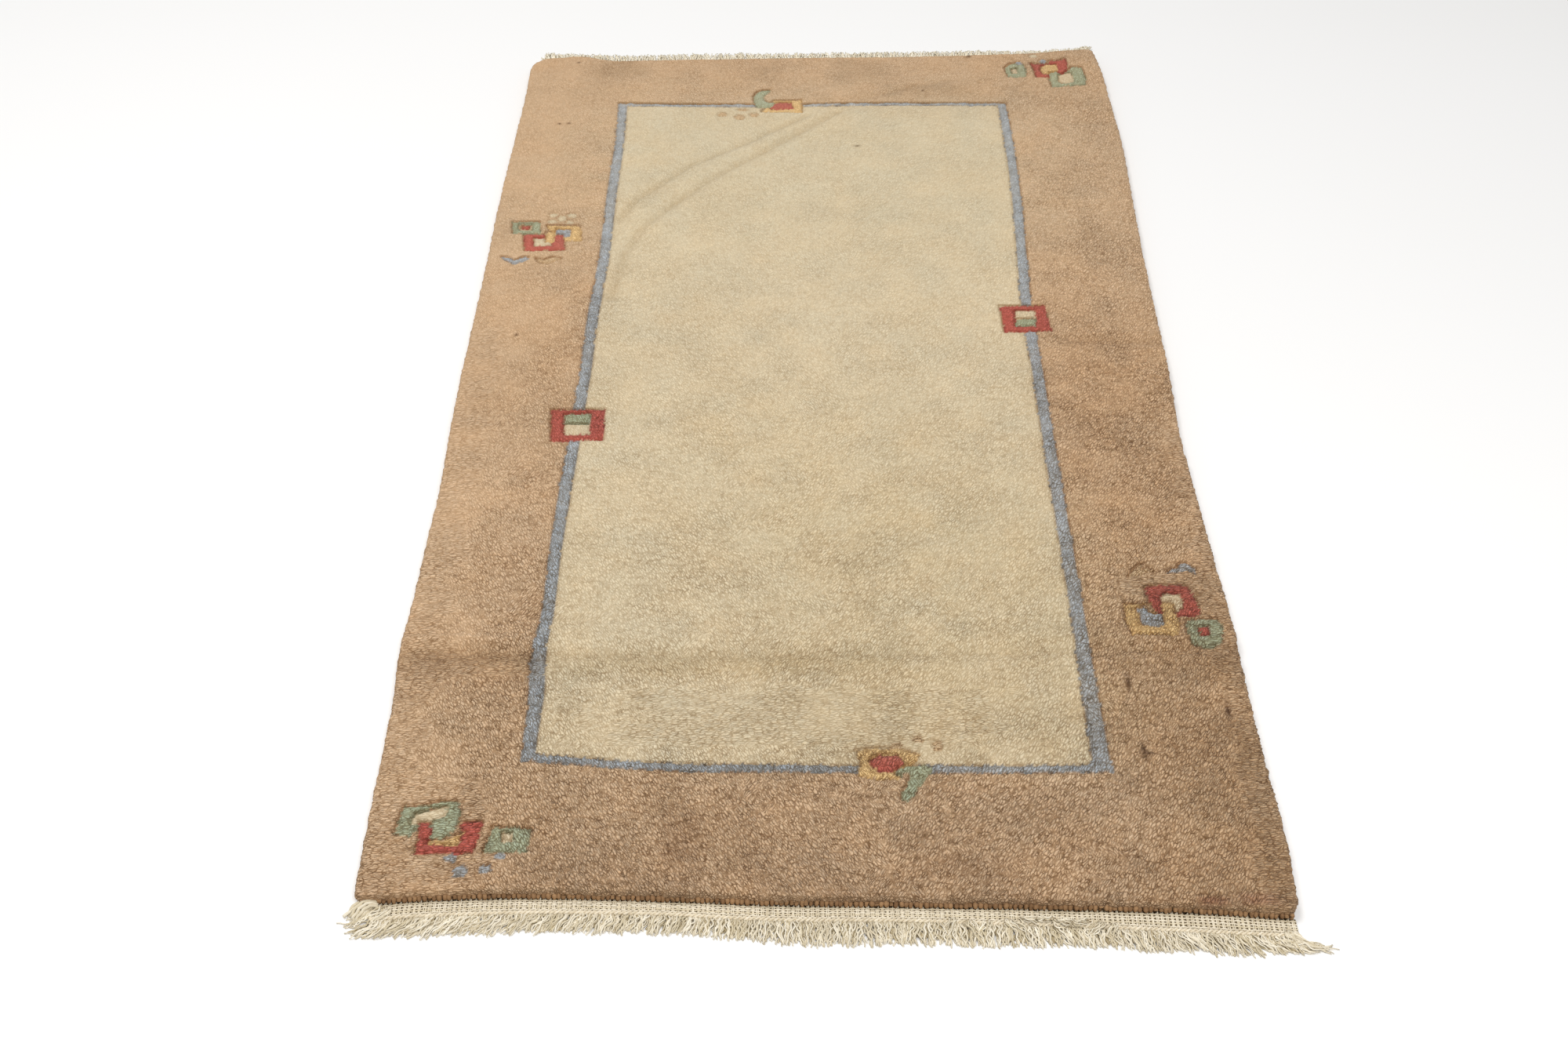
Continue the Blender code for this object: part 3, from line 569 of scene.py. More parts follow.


# The knotted pile: its colour as worn, and its painted shade
# Wear and soil have browned the near end and the right side and greyed the lower field, and the pile is
# darker along its near edge. The dark band under the crease is painted shade. Each patch moves the wool
# towards one colour by a share.
Patch = namedtuple("Patch", "x y half_across half_along colour share")
PATCHES = (
    Patch(0.000, -0.710, 0.420, 0.070, "#A5774F", 0.13),
    Patch(0.000, -0.702, 0.420, 0.012, "#7C5233", 0.14),
    Patch(0.330, -0.560, 0.080, 0.240, "#AE7F49", 0.22),
    Patch(0.348, -0.600, 0.018, 0.090, "#7F6440", 0.18),
    # Painted shade: the dark band below the crease at the left.
    Patch(-0.300, -0.447, 0.070, 0.030, "#A37C55", 0.20),
    Patch(-0.300, 0.280, 0.075, 0.420, "#B5946F", 0.16),
    # Painted shade along the crease across the field.
    Patch(-0.080, -0.437, 0.170, 0.016, "#B49A6C", 0.30),
    Patch(0.100, -0.500, 0.150, 0.060, "#C9B189", 0.34),
    Patch(0.100, -0.330, 0.160, 0.150, "#CDB88F", 0.26),
    Patch(0.020, -0.160, 0.150, 0.130, "#D6C19A", 0.24),
    Patch(0.290, -0.100, 0.070, 0.220, "#BD9368", 0.30),
    # Painted shade below the crease at the right.
    Patch(0.300, -0.430, 0.060, 0.022, "#96724A", 0.22),
    Patch(-0.107, -0.632, 0.015, 0.026, "#7F5632", 0.44),
    Patch(0.105, -0.664, 0.036, 0.016, "#8B6340", 0.28),
    Patch(0.290, -0.694, 0.012, 0.004, "#8F4B33", 0.45),
    Patch(0.324, -0.692, 0.015, 0.006, "#8F4B33", 0.50),
    Patch(-0.235, 0.655, 0.030, 0.024, "#A58460", 0.30),
    Patch(-0.060, 0.640, 0.026, 0.020, "#A58460", 0.24),
    Patch(0.060, 0.655, 0.034, 0.022, "#A58460", 0.26),
    Patch(0.140, 0.600, 0.060, 0.018, "#A58460", 0.24),
    Patch(0.000, 0.640, 0.420, 0.090, "#B59370", 0.26),
    Patch(0.000, 0.420, 0.300, 0.210, "#CBBE9F", 0.25),
)
UNWORN_NAP = 0.34
NAP_WORN_NEAR = 0.76
NAP_WORN_RIGHT = 0.18
NAP_SPARED_LEFT = 0.30
NAP_DRIFT = 0.25
MOST_NAP = 1.4
NAP_OF_FIELD = 0.64
NAP_OF_OTHER_YARNS = 1.15
TONE_BY_LOCK = 0.05
TONE_DRIFT = 0.022
TONE_DRIFT_BY_NAP = 0.03
WARMTH_BY_LOCK = 0.012
WARMTH_DRIFT = 0.02
LINE_TONE_DRIFT = 0.15
PATCH_DRIFT = 0.45
PATCH_ON_OTHER_YARNS = 0.4
CREASE_BEGINS = 0.2
CREASE_DARKNESS = 0.25
CREASE_DARKER_BY_NAP = 0.36
CREASE_SHADE = np.array((0.28, 0.36, 0.45))
CARVED_SHADE = np.array((0.48, 0.58, 0.68))
CREASE_HUE = np.array((0.9, 1.05, 1.25))
# Small dark marks. The long ones at the near right are short cuts in the pile, and their darkness is painted
# shade in the cuts; the rest are small dark spots.
Speck = namedtuple("Speck", "x y half_across half_along")
SPECKS = (Speck(-0.299, 0.511, 0.0022, 0.0022), Speck(-0.288, 0.512, 0.0022, 0.0022),
          Speck(-0.288, 0.662, 0.0020, 0.0020), Speck(0.193, 0.691, 0.0026, 0.0036),
          Speck(0.132, 0.600, 0.0018, 0.0020), Speck(0.050, 0.460, 0.0034, 0.0018),
          Speck(-0.304, 0.060, 0.0018, 0.0024), Speck(0.2540, -0.458, 0.0025, 0.0095),
          Speck(0.3314, -0.490, 0.0025, 0.0100), Speck(0.2574, -0.537, 0.0025, 0.0090),
          Speck(0.262, -0.540, 0.0045, 0.0016))
SPECK_SHADE = 0.82
SPECK_HUE = np.array((0.92, 1.00, 1.06))
WARMTH_HUE = np.array((1.0, 0.0, -1.2))


def roughness_of_nap(x, y):
    """How ruffled the pile is: smooth at the far end and the left, coarse at the near end and the right."""
    towards_near = np.clip((0.62 - y) / 1.20, 0.0, 1.0) ** 1.6
    towards_right = np.clip((x - 0.2) / 0.15, 0.0, 1.0)
    towards_left = np.clip((-0.24 - x) / 0.06, 0.0, 1.0)
    worn = UNWORN_NAP + NAP_WORN_NEAR * towards_near + NAP_WORN_RIGHT * towards_right
    worn = worn * (1 - NAP_SPARED_LEFT * towards_left)
    return np.clip(worn * (1 + NAP_DRIFT * drift(x, y, 0.030, 25)), 0.0, MOST_NAP)


def wool_colour(yarn, owner, lift, shaded, x, y):
    """Linear colour of the wool, and the roughness of its nap as a fourth share.

    The yarn's colour is changed by its lock's own tone, gets painted shade, darker and warmer, in
    creases, carved edges, folds and small cuts, and a painted highlight on some ridges, and is worn in
    patches, some of which paint the shade under the crease.
    """
    colour = np.array([linear(code)[:3] for code in YARN_COLOURS])[yarn]
    nap = roughness_of_nap(x, y) * np.where(yarn == CREAM, NAP_OF_FIELD, NAP_OF_OTHER_YARNS)
    own_tone, own_warmth = lock_tone[0].ravel()[owner], lock_tone[1].ravel()[owner]
    slow = TONE_DRIFT * drift(x, y, 0.045, 21) + TONE_DRIFT_BY_NAP * nap * drift(x, y, 0.014, 22)
    slow = slow + np.where(yarn == BLUE, LINE_TONE_DRIFT * drift(x, y, 0.006, 26), 0.0)
    warm = WARMTH_BY_LOCK * own_warmth + WARMTH_DRIFT * drift(x, y, 0.030, 23)
    for patch in PATCHES:
        target = np.array(linear(patch.colour)[:3])
        share = patch.share * soft_patch(x, y, patch) * (1 + PATCH_DRIFT * drift(x, y, 0.016, 24))
        share = np.where((yarn == TAN) | (yarn == CREAM), share, PATCH_ON_OTHER_YARNS * share)[..., None]
        colour = colour * (1 - share) + target * share
    # Painted shade in the creases between locks, deeper where the nap is ruffled, and painted shadow at the
    # carved edges.
    depth = np.clip((CREASE_BEGINS - lift) / (CREASE_BEGINS - LEAST_LIFT), 0.0, 1.0) ** 1.3
    depth = depth * (CREASE_DARKNESS + CREASE_DARKER_BY_NAP * nap)
    tone = 1 + TONE_BY_LOCK * (0.2 + nap) * own_tone + slow
    colour = colour * tone[..., None] * (1 + warm[..., None] * WARMTH_HUE)
    colour = colour * (1 - depth[..., None] * CREASE_SHADE) * (1 - shaded[..., None] * CARVED_SHADE)
    # Painted shade along the folds, and a painted highlight where a fold's shade is below 0.
    for fold in FOLDS:
        if fold.shade:
            colour = colour * (1 - fold.shade * along_fold(fold, x, y)[..., None] * CREASE_HUE)
    # Small dark marks; at the cuts in the pile they are painted shade.
    for speck in SPECKS:
        there = np.exp(-((x - speck.x) / speck.half_across) ** 2 - ((y - speck.y) / speck.half_along) ** 2)
        colour = colour * (1 - SPECK_SHADE * there[..., None] * SPECK_HUE)
    return np.concatenate([np.clip(colour, 0.0, 1.0), nap[..., None]], axis=-1)


# The knotted pile: its bands
# The pile is one piece of cloth. It is modelled in five bands across the rug, as it is woven row upon
# row, and each band is a closed solid with a round, fuzzy rim and a flat back of knot loops.
PILE_STEPS_ACROSS = 390
PILE_STEPS_ALONG = 745
BANDS = 5
RIM_ROWS = 8
Rim = namedtuple("Rim", "turn inset height_share")
RIM = (Rim(0.00, 0.0036, 1.00), Rim(0.25, 0.0010, 0.90), Rim(0.50, 0.0000, 0.58), Rim(0.78, 0.0018, 0.24),
       Rim(1.00, 0.0022, 0.00))
RIM_FUZZ = 0.0008
LINE_LUMPS = 0.0011
LEAST_RISE = 0.35
RISE_BY_NAP = 0.9
CREAM_RISE = 0.8
HANG_PAST_HEIGHT = 0.004
TURN_STEP = 0.02
INSET_STEP = 0.002
CREASES_LOST_ON_RIM = 0.6

pile_u = np.linspace(CHART_ACROSS[0], CHART_ACROSS[-1], PILE_STEPS_ACROSS + 1)
pile_v = np.linspace(CHART_ALONG[0], CHART_ALONG[-1], PILE_STEPS_ALONG + 1)


def pile_surface(u, v, side, end, turn):
    """Places and colours of points of the pile's surface.

    u and v are chart points. side and end say which edge a rim point hangs from (-1, 0 or 1), and
    turn runs from 0 on the top to 1 on the floor. The locks' lift is laid along the surface's normal.
    """
    inset, share = through(RIM, "inset", turn), through(RIM, "height_share", turn)
    ahead = min(turn + TURN_STEP, 1.0)
    behind = max(turn - TURN_STEP, 0.0)
    outward = (through(RIM, "inset", behind) - through(RIM, "inset", ahead)) / (ahead - behind)
    lost = through(RIM, "height_share", behind) - through(RIM, "height_share", ahead)
    fall = PILE_HEIGHT * lost / (ahead - behind)
    steepness = math.hypot(float(outward), float(fall))
    normal_out, normal_up = (0.0, 1.0) if turn == 0 else (fall / steepness, outward / steepness)
    x, y = on_the_rug(u, v, inset)
    hung = turn * (PILE_HEIGHT + HANG_PAST_HEIGHT)
    lift, owner = locks(u + side * hung, v + end * hung)
    shown_u = 0.5 * (u + lock_u.ravel()[owner]) if turn == 0 else u
    shown_v = 0.5 * (v + lock_v.ravel()[owner]) if turn == 0 else v
    yarn, _, _ = knotted_chart(shown_u, shown_v, x + shown_u - u, y + shown_v - v)
    _, carved, shaded = knotted_chart(u, v, x, y)
    lumps = np.where(yarn == BLUE, LINE_LUMPS * drift(x, y, 0.0075, 33), 0.0)
    top = PILE_HEIGHT + fold_height(x, y) - CARVING_DEPTH * carved + lumps
    resting = min(1.0, 8 * (1 - turn))
    ruffled = LOCK_RISE * (LEAST_RISE + RISE_BY_NAP * roughness_of_nap(x, y))
    raised = ruffled * np.where(yarn == CREAM, CREAM_RISE, 1.0) * lift * resting
    z = np.maximum(top * share + raised * normal_up, 0.0)
    if turn > 0:
        inner_x, inner_y = on_the_rug(u, v, inset + INSET_STEP)
        out_x, out_y = x - inner_x, y - inner_y
        length = np.maximum(np.hypot(out_x, out_y), 1e-6)
        hangs = np.where((side != 0) | (end != 0), 1.0, 0.0)
        push = (raised * normal_out + RIM_FUZZ * resting * drift(u + v, hung + 0 * u, 0.0035, 31)) * hangs
        x, y = x + push * out_x / length, y + push * out_y / length
    if turn == 1:
        z = np.zeros_like(z)
    # The painted crease shade fades on the rim.
    shown_lift = lift + (CREASE_BEGINS - lift) * CREASES_LOST_ON_RIM * min(1.0, 2 * turn)
    return np.stack([x, y, z], axis=-1), wool_colour(yarn, owner, shown_lift, shaded, x, y), nap_lies(x, y)


grid_u, grid_v = np.meshgrid(pile_u, pile_v)
flat = np.zeros_like(grid_u)
pile_top, pile_top_colour, pile_top_lies = pile_surface(grid_u, grid_v, flat, flat, 0.0)


def pile_band(name, first, last, materials):
    """One band of the pile, from chart row first to row last, as a closed solid.

    Its top is a grid. Rings hang from the grid's boundary down to the floor: round at the rug's own
    edges, and straight where the band meets its neighbours. The last ring is filled as the back. The
    top edge of a seam wall is marked sharp, so that the wall doesn't darken the top beside it.
    """
    across = PILE_STEPS_ACROSS
    rows, columns = last - first + 1, across + 1
    along = rows - 1
    cell = np.arange(along)[:, None] * columns + np.arange(across)[None, :]
    top = np.stack([cell, cell + 1, cell + columns + 1, cell + columns], axis=-1).reshape(-1, 4)
    i = np.concatenate([np.arange(across), np.full(along, across),
                        np.arange(across, 0, -1), np.zeros(along, int)])
    j = np.concatenate([np.zeros(across, int), np.arange(along),
                        np.full(across, along), np.arange(along, 0, -1)])
    side = np.where(i == 0, -1, np.where(i == across, 1, 0))
    end = np.where((j == 0) & (first == 0), -1, np.where((j == along) & (last == PILE_STEPS_ALONG), 1, 0))
    points = [pile_top[first:last + 1].reshape(-1, 3)]
    colours = [pile_top_colour[first:last + 1].reshape(-1, 4)]
    naps = [pile_top_lies[first:last + 1].reshape(-1, 3)]
    seam = (side == 0) & (end == 0)
    ring = j * columns + i
    start, rims, seams = rows * columns, [], []
    for k in range(1, RIM_ROWS + 1):
        places, tints, lies = pile_surface(pile_u[i], pile_v[first + j], side, end, k / RIM_ROWS)
        points.append(places)
        colours.append(tints)
        naps.append(lies)
        lower = start + np.arange(len(i))
        walls = np.stack([ring, lower, np.roll(lower, -1), np.roll(ring, -1)], axis=-1)
        rims.append((walls[~seam], 0, True))
        seams.append((walls[seam], 0, False))
        ring, start = lower, start + len(i)
    band = make_mesh(name, np.concatenate(points),
                     [(top, 0, True), *rims, *seams, (ring[::-1][None, :], 1, False)], materials)
    ends = np.empty(2 * len(band.data.edges), dtype=np.int32)
    band.data.edges.foreach_get("vertices", ends)
    on_seam = np.isin(ends.reshape(-1, 2), (j * columns + i)[seam]).all(axis=1)
    band.data.edges.foreach_set("use_edge_sharp", on_seam)
    tint_points(band, "wool", np.concatenate(colours))
    tint_points(band, "nap", np.concatenate(naps))
    return band


def fibre_noise(tree, place, width_mm, length_mm, detail):
    """Noise stretched along the rug, as fine as the given width and length in millimetres."""
    stretched_place = add_node(tree, "ShaderNodeMapping", Vector=place,
                               Scale=(1000 / width_mm, 1000 / length_mm, 1000 / width_mm))
    return add_node(tree, "ShaderNodeTexNoise", Vector=stretched_place.outputs["Vector"], Scale=1.0,
                    Detail=detail, Roughness=0.6, Distortion=0.6).outputs["Fac"]


def tufted_cells(tree, place, turn_degrees):
    """Depth between neighbouring tufts, all leaning one way: 0 in the creases, most in their middles."""
    leaning = add_node(tree, "ShaderNodeMapping", {"vector_type": "TEXTURE"}, Vector=place,
                       Rotation=(0.0, 0.0, math.radians(turn_degrees)),
                       Scale=(TUFT_WIDTH_MM / 1000, TUFT_LENGTH_MM / 1000, TUFT_WIDTH_MM / 1000))
    return add_node(tree, "ShaderNodeTexVoronoi", {"feature": "DISTANCE_TO_EDGE"},
                    Vector=leaning.outputs["Vector"], Scale=1.0).outputs["Distance"]


# Clipped wool pile. It gives the eye a dry, felted surface of small leaning tufts, with painted shade in
# the creases between them and a painted highlight on their middles, coarser where the nap is ruffled.
# The real fibres are 0.04 mm thick, too fine to show, so they are drawn 0.5 mm thick.
FIBRE_WIDTH_MM = 0.5
FIBRE_LENGTH_MM = 2.2
TUFT_WIDTH_MM = 2.0
TUFT_LENGTH_MM = 6.5
LEANS = (28.0, -28.0, -82.0)
KNOT_ROW_WIDTH_MM = 16.0
KNOT_ROW_LENGTH_MM = 2.6
BEND_MM = 1.8
wool_pile, tree, shader = blank_material("clipped wool pile")
place = add_node(tree, "ShaderNodeTexCoord").outputs["Object"]
wool = add_node(tree, "ShaderNodeAttribute", {"attribute_name": "wool"})
nap = add_node(tree, "ShaderNodeSeparateColor",
               i0=add_node(tree, "ShaderNodeAttribute", {"attribute_name": "nap"}).outputs["Color"])
fibres = fibre_noise(tree, place, FIBRE_WIDTH_MM, FIBRE_LENGTH_MM, 2.0)
bend = add_node(tree, "ShaderNodeTexNoise", Vector=place, Scale=190.0, Detail=2.0)
bent = add_node(tree, "ShaderNodeVectorMath", {"operation": "MULTIPLY_ADD"}, i0=bend.outputs["Color"],
                i1=(BEND_MM / 1000,) * 3, i2=place)
to_left, to_right, combed = (tufted_cells(tree, bent.outputs[0], turn) for turn in LEANS)
upright = add_node(tree, "ShaderNodeMix", Factor=nap.outputs[0], i2=to_left, i3=to_right)
laid = add_node(tree, "ShaderNodeMix", Factor=nap.outputs[1], i2=upright.outputs[0], i3=combed)
# Painted shade in the creases between tufts, of uneven depth, and a painted highlight on the tufts' middles.
uneven = add_node(tree, "ShaderNodeTexNoise", Vector=place, Scale=150.0, Detail=1.0)
crease = add_node(tree, "ShaderNodeMapRange", Value=uneven.outputs["Fac"], From_Min=0.35, From_Max=0.65,
                  To_Min=0.64, To_Max=0.26)
streak = add_node(tree, "ShaderNodeMapRange", Value=fibres, From_Min=0.3, From_Max=0.7, To_Min=0.80,
                  To_Max=1.18)
tuft_shade_and_highlight = add_node(tree, "ShaderNodeMapRange", {"interpolation_type": "SMOOTHSTEP"}, Value=laid.outputs[0],
                From_Min=0.0, From_Max=0.26, To_Min=crease.outputs[0], To_Max=1.25)
knot_rows_noise = fibre_noise(tree, place, KNOT_ROW_WIDTH_MM, KNOT_ROW_LENGTH_MM, 1.0)
row_tone = add_node(tree, "ShaderNodeMapRange", Value=knot_rows_noise, From_Min=0.32, From_Max=0.68,
                    To_Min=0.90, To_Max=1.08)
tone = add_node(tree, "ShaderNodeMath", {"operation": "MULTIPLY"}, i0=streak.outputs[0], i1=tuft_shade_and_highlight.outputs[0])
tone = add_node(tree, "ShaderNodeMath", {"operation": "MULTIPLY"}, i0=tone.outputs[0], i1=row_tone.outputs[0])
tone = add_node(tree, "ShaderNodeMix", Factor=wool.outputs["Alpha"], i2=1.0, i3=tone.outputs[0])
# Shade between tufts is warmer than the light on them: red falls off less than green, and blue more
red_shade = add_node(tree, "ShaderNodeMath", {"operation": "POWER"}, i0=tone.outputs[0], i1=0.85)
blue_shade = add_node(tree, "ShaderNodeMath", {"operation": "POWER"}, i0=tone.outputs[0], i1=1.2)
warm_shade = add_node(tree, "ShaderNodeCombineXYZ", X=red_shade.outputs[0], Y=tone.outputs[0],
                      Z=blue_shade.outputs[0])
shade = add_node(tree, "ShaderNodeVectorMath", {"operation": "MULTIPLY"}, i0=wool.outputs["Color"],
                 i1=warm_shade.outputs[0])
tree.links.new(shade.outputs[0], shader.inputs["Base Color"])
dry = add_node(tree, "ShaderNodeMapRange", Value=fibres, To_Min=0.82, To_Max=0.98)
tree.links.new(dry.outputs[0], shader.inputs["Roughness"])
shader.inputs["Sheen Weight"].default_value = 0.06
shader.inputs["Sheen Roughness"].default_value = 0.5
shader.inputs["Specular IOR Level"].default_value = 0.15
height = add_node(tree, "ShaderNodeMath", {"operation": "MULTIPLY_ADD"}, i0=laid.outputs[0], i1=3.0,
                  i2=fibres)
height = add_node(tree, "ShaderNodeMath", {"operation": "MULTIPLY"}, i0=height.outputs[0],
                  i1=wool.outputs["Alpha"])
relief = add_node(tree, "ShaderNodeBump", Strength=0.9, Distance=0.0010, Height=height.outputs[0])
tree.links.new(relief.outputs["Normal"], shader.inputs["Normal"])

# The back of the rug. Rows of flat knot loops, each as wide as a pair of warps, pressed against the
# floor. The wool there is clean, so it is the border's tan at its brightest.
KNOT_PITCH_MM = 3.7
knot_loops, tree, shader = blank_material("knot loops on the back")
place = add_node(tree, "ShaderNodeTexCoord").outputs["Object"]
squared = add_node(tree, "ShaderNodeMapping", Vector=place, Scale=(1000 / KNOT_PITCH_MM,) * 3)
loops = add_node(tree, "ShaderNodeTexBrick", Vector=squared.outputs["Vector"], Scale=1.0,
                 Color1=linear("#CBA67F"), Color2=linear("#BD9872"), Mortar=linear("#8C7A5E"),
                 Mortar_Size=0.08, Brick_Width=1.0, Row_Height=0.8)
tree.links.new(loops.outputs["Color"], shader.inputs["Base Color"])
rough = add_node(tree, "ShaderNodeTexNoise", Vector=squared.outputs["Vector"], Scale=2.0)
dry = add_node(tree, "ShaderNodeMapRange", Value=rough.outputs["Fac"], To_Min=0.8, To_Max=0.98)
tree.links.new(dry.outputs[0], shader.inputs["Roughness"])
relief = add_node(tree, "ShaderNodeBump", {"invert": True}, Strength=0.6, Distance=0.0005,
                  Height=loops.outputs["Fac"])
tree.links.new(relief.outputs["Normal"], shader.inputs["Normal"])

band_rows = np.linspace(0, PILE_STEPS_ALONG, BANDS + 1).round().astype(int)
pile_bands = [pile_band(f"pile_band_{k + 1}", first, last, [wool_pile, knot_loops])
              for k, (first, last) in enumerate(zip(band_rows, band_rows[1:]))]

# The ends of the rug: where they run
# Everything beyond the pile follows its two end outlines, near and far.
WEB_FROM_LEFT = 0.014
WEB_FROM_RIGHT = 0.003
FAR_WEB_DEPTH = 0.0100
WARP_PAIR_PITCH = 0.0037
ROW_GAP = 0.0003
ROW_WIDTH = 0.0043
RugEnd = namedtuple("RugEnd", "word side edge left right")
RUG_ENDS = tuple(
    RugEnd(word, side, edge, float(through(SIDES, "left", y)) + WEB_FROM_LEFT,
           float(through(SIDES, "right", y)) - WEB_FROM_RIGHT)
    for word, side, edge, y in (("near", -1, "near", CHART_ALONG[0]), ("far", 1, "far", CHART_ALONG[-1])))


def web_depth(end, x):
    """How far the web reaches out beyond the pile at x."""
    return through(ENDS, "near_web", x) if end.side < 0 else np.full(np.shape(x), FAR_WEB_DEPTH)


def beyond(end, x, out):
    """The y of a point at x, a distance out from the pile's outline."""
    return through(ENDS, end.edge, x) + end.side * out


NEARLY_UP = (0.02, 0.03, 1.0)


def yarn_mesh(name, paths, radius, sides, material, tones=None):
    """Tubes round many paths at once, joined in one mesh.

    paths is yarns by points by 3, and radius is yarns by points. At each point a ring stands square
    to the path, on the two directions square to it that are most nearly level and most nearly upright.
    """
    paths = np.asarray(paths, dtype=float)
    radius = np.broadcast_to(radius, paths.shape[:2])
    along = np.gradient(paths, axis=1)
    along /= np.maximum(np.linalg.norm(along, axis=-1, keepdims=True), 1e-9)
    aside = np.cross(along, NEARLY_UP)
    aside /= np.maximum(np.linalg.norm(aside, axis=-1, keepdims=True), 1e-9)
    over = np.cross(aside, along)
    turn = 2 * math.pi * np.arange(sides) / sides
    spoke = np.cos(turn)[:, None] * aside[:, :, None, :] + np.sin(turn)[:, None] * over[:, :, None, :]
    points = paths[:, :, None, :] + radius[:, :, None, None] * spoke
    points[..., 2] = np.maximum(points[..., 2], 0.0)
    yarns, count = paths.shape[:2]
    index = np.arange(yarns * count * sides).reshape(yarns, count, sides)
    here, there = index[:, :-1], index[:, 1:]
    walls = np.stack([here, there, np.roll(there, -1, axis=2), np.roll(here, -1, axis=2)], axis=-1)
    caps = np.concatenate([index[:, 0], index[:, -1, ::-1]])
    piece = make_mesh(name, points.reshape(-1, 3), [(walls.reshape(-1, 4), 0, True), (caps, 0, False)],
                      [material])
    tones = chance.uniform(0.0, 1.0, yarns) if tones is None else tones
    shades = np.broadcast_to(np.asarray(tones)[:, None, None], (yarns, count, sides)).reshape(-1)
    reach = np.broadcast_to(np.linspace(0, 1, count)[None, :, None], (yarns, count, sides)).reshape(-1)
    tint_points(piece, "yarn", np.stack([shades, reach, 0 * reach], axis=-1))
    return piece


def soft_yarn(name, dark, light, fibre_mm, grime, most_grime):
    """Spun yarn: dull and fibrous, each length of its own shade, and soiled here and there."""
    material, tree, shader = blank_material(name)
    place = add_node(tree, "ShaderNodeTexCoord").outputs["Object"]
    own = add_node(tree, "ShaderNodeSeparateColor",
                   i0=add_node(tree, "ShaderNodeAttribute", {"attribute_name": "yarn"}).outputs["Color"])
    base = add_node(tree, "ShaderNodeMix", {"data_type": "RGBA"}, Factor=own.outputs[0], i6=linear(dark),
                    i7=linear(light))
    soil = add_node(tree, "ShaderNodeTexNoise", Vector=place, Scale=130.0, Detail=3.0)
    amount = add_node(tree, "ShaderNodeMapRange", Value=soil.outputs["Fac"], From_Min=0.40, From_Max=0.75,
                      To_Min=0.0, To_Max=most_grime)
    soiled = add_node(tree, "ShaderNodeMix", {"data_type": "RGBA"}, Factor=amount.outputs[0],
                      i6=base.outputs[2], i7=linear(grime))
    tree.links.new(soiled.outputs[2], shader.inputs["Base Color"])
    fuzz = add_node(tree, "ShaderNodeTexNoise", Vector=place, Scale=1000 / fibre_mm, Detail=2.0)
    dry = add_node(tree, "ShaderNodeMapRange", Value=fuzz.outputs["Fac"], To_Min=0.75, To_Max=0.95)
    tree.links.new(dry.outputs[0], shader.inputs["Roughness"])
    shader.inputs["Specular IOR Level"].default_value = 0.2
    relief = add_node(tree, "ShaderNodeBump", Strength=0.5, Distance=0.0002, Height=fuzz.outputs["Fac"])
    tree.links.new(relief.outputs["Normal"], shader.inputs["Normal"])
    return material


# The last row of knots
# At each end the last knots have nothing to lean on. They hang over the web as a row of separate
# tufts, one to each pair of warps, with dark gaps between them.
KNOT_RADIUS = 0.0022
KNOT_POINTS = ((-0.0028, 0.0062, 0.9), (-0.0014, 0.0050, 1.0), (-0.0004, 0.0036, 0.9), (0.0002, 0.0024, 0.5))
KNOT_UNEVEN = 0.0010
KNOT_LEAN_SHARE = 0.3
KNOT_HIGH_SHARE = 0.6
KNOT_SIDES = 5

# Knotted wool of the last row. It gives the eye a darker, redder brown than the clipped top.
last_knots = soft_yarn("wool of the last knots", "#8B6A4B", "#AD8862", 0.8, "#705338", 0.45)


def knot_row(end):
    """A tuft on each pair of warps: a short path that comes out of the pile and bends down to the web."""
    x = np.arange(end.left + 0.001, end.right - 0.001, WARP_PAIR_PITCH)
    x = x + chance.uniform(-0.3, 0.3, x.shape) * KNOT_UNEVEN
    out, high, share = np.array(KNOT_POINTS).T
    jitter = KNOT_UNEVEN * chance.uniform(-1, 1, (len(x), len(out)))
    lean = KNOT_LEAN_SHARE * jitter.cumsum(axis=1)
    y, z = beyond(end, x[:, None], out + jitter), high + KNOT_HIGH_SHARE * jitter
    paths = np.stack([x[:, None] + lean, y, z], axis=-1)
    radius = KNOT_RADIUS * share * chance.uniform(0.85, 1.1, (len(x), 1))
    return yarn_mesh("last_knots_" + end.word, paths, radius, KNOT_SIDES, last_knots)


knot_rows = {end.word: knot_row(end) for end in RUG_ENDS}

# The end webs
# Beyond the last knots the cotton warps, laid in pairs, are woven plain with cotton weft for a finger's
# width, to lock the knots. The wefts pass over and under the pairs in turn and leave small dark gaps.
WARP_RADIUS = 0.00052
WARP_GAP_IN_PAIR = 0.0011
WEFT_RADIUS = 0.00064
WEFT_WAVE = 0.00050
WEB_MIDDLE = 0.0014
WEB_UNDER_PILE = 0.0016
PAIR_WANDER = 0.00025
WARP_WANDER = 0.0003
WEFT_WANDER = 0.0003
Weave = namedtuple("Weave", "wefts points_a_pair sides")
WEAVES = {"near": Weave(5, 4, 5), "far": Weave(4, 2, 3)}

# Woven cotton. It gives the eye a pale, even cloth with a soft shadow in each gap.
woven_cotton = soft_yarn("woven undyed cotton", "#DFD2B6", "#F0E6D1", 0.4, "#B3A07C", 0.4)


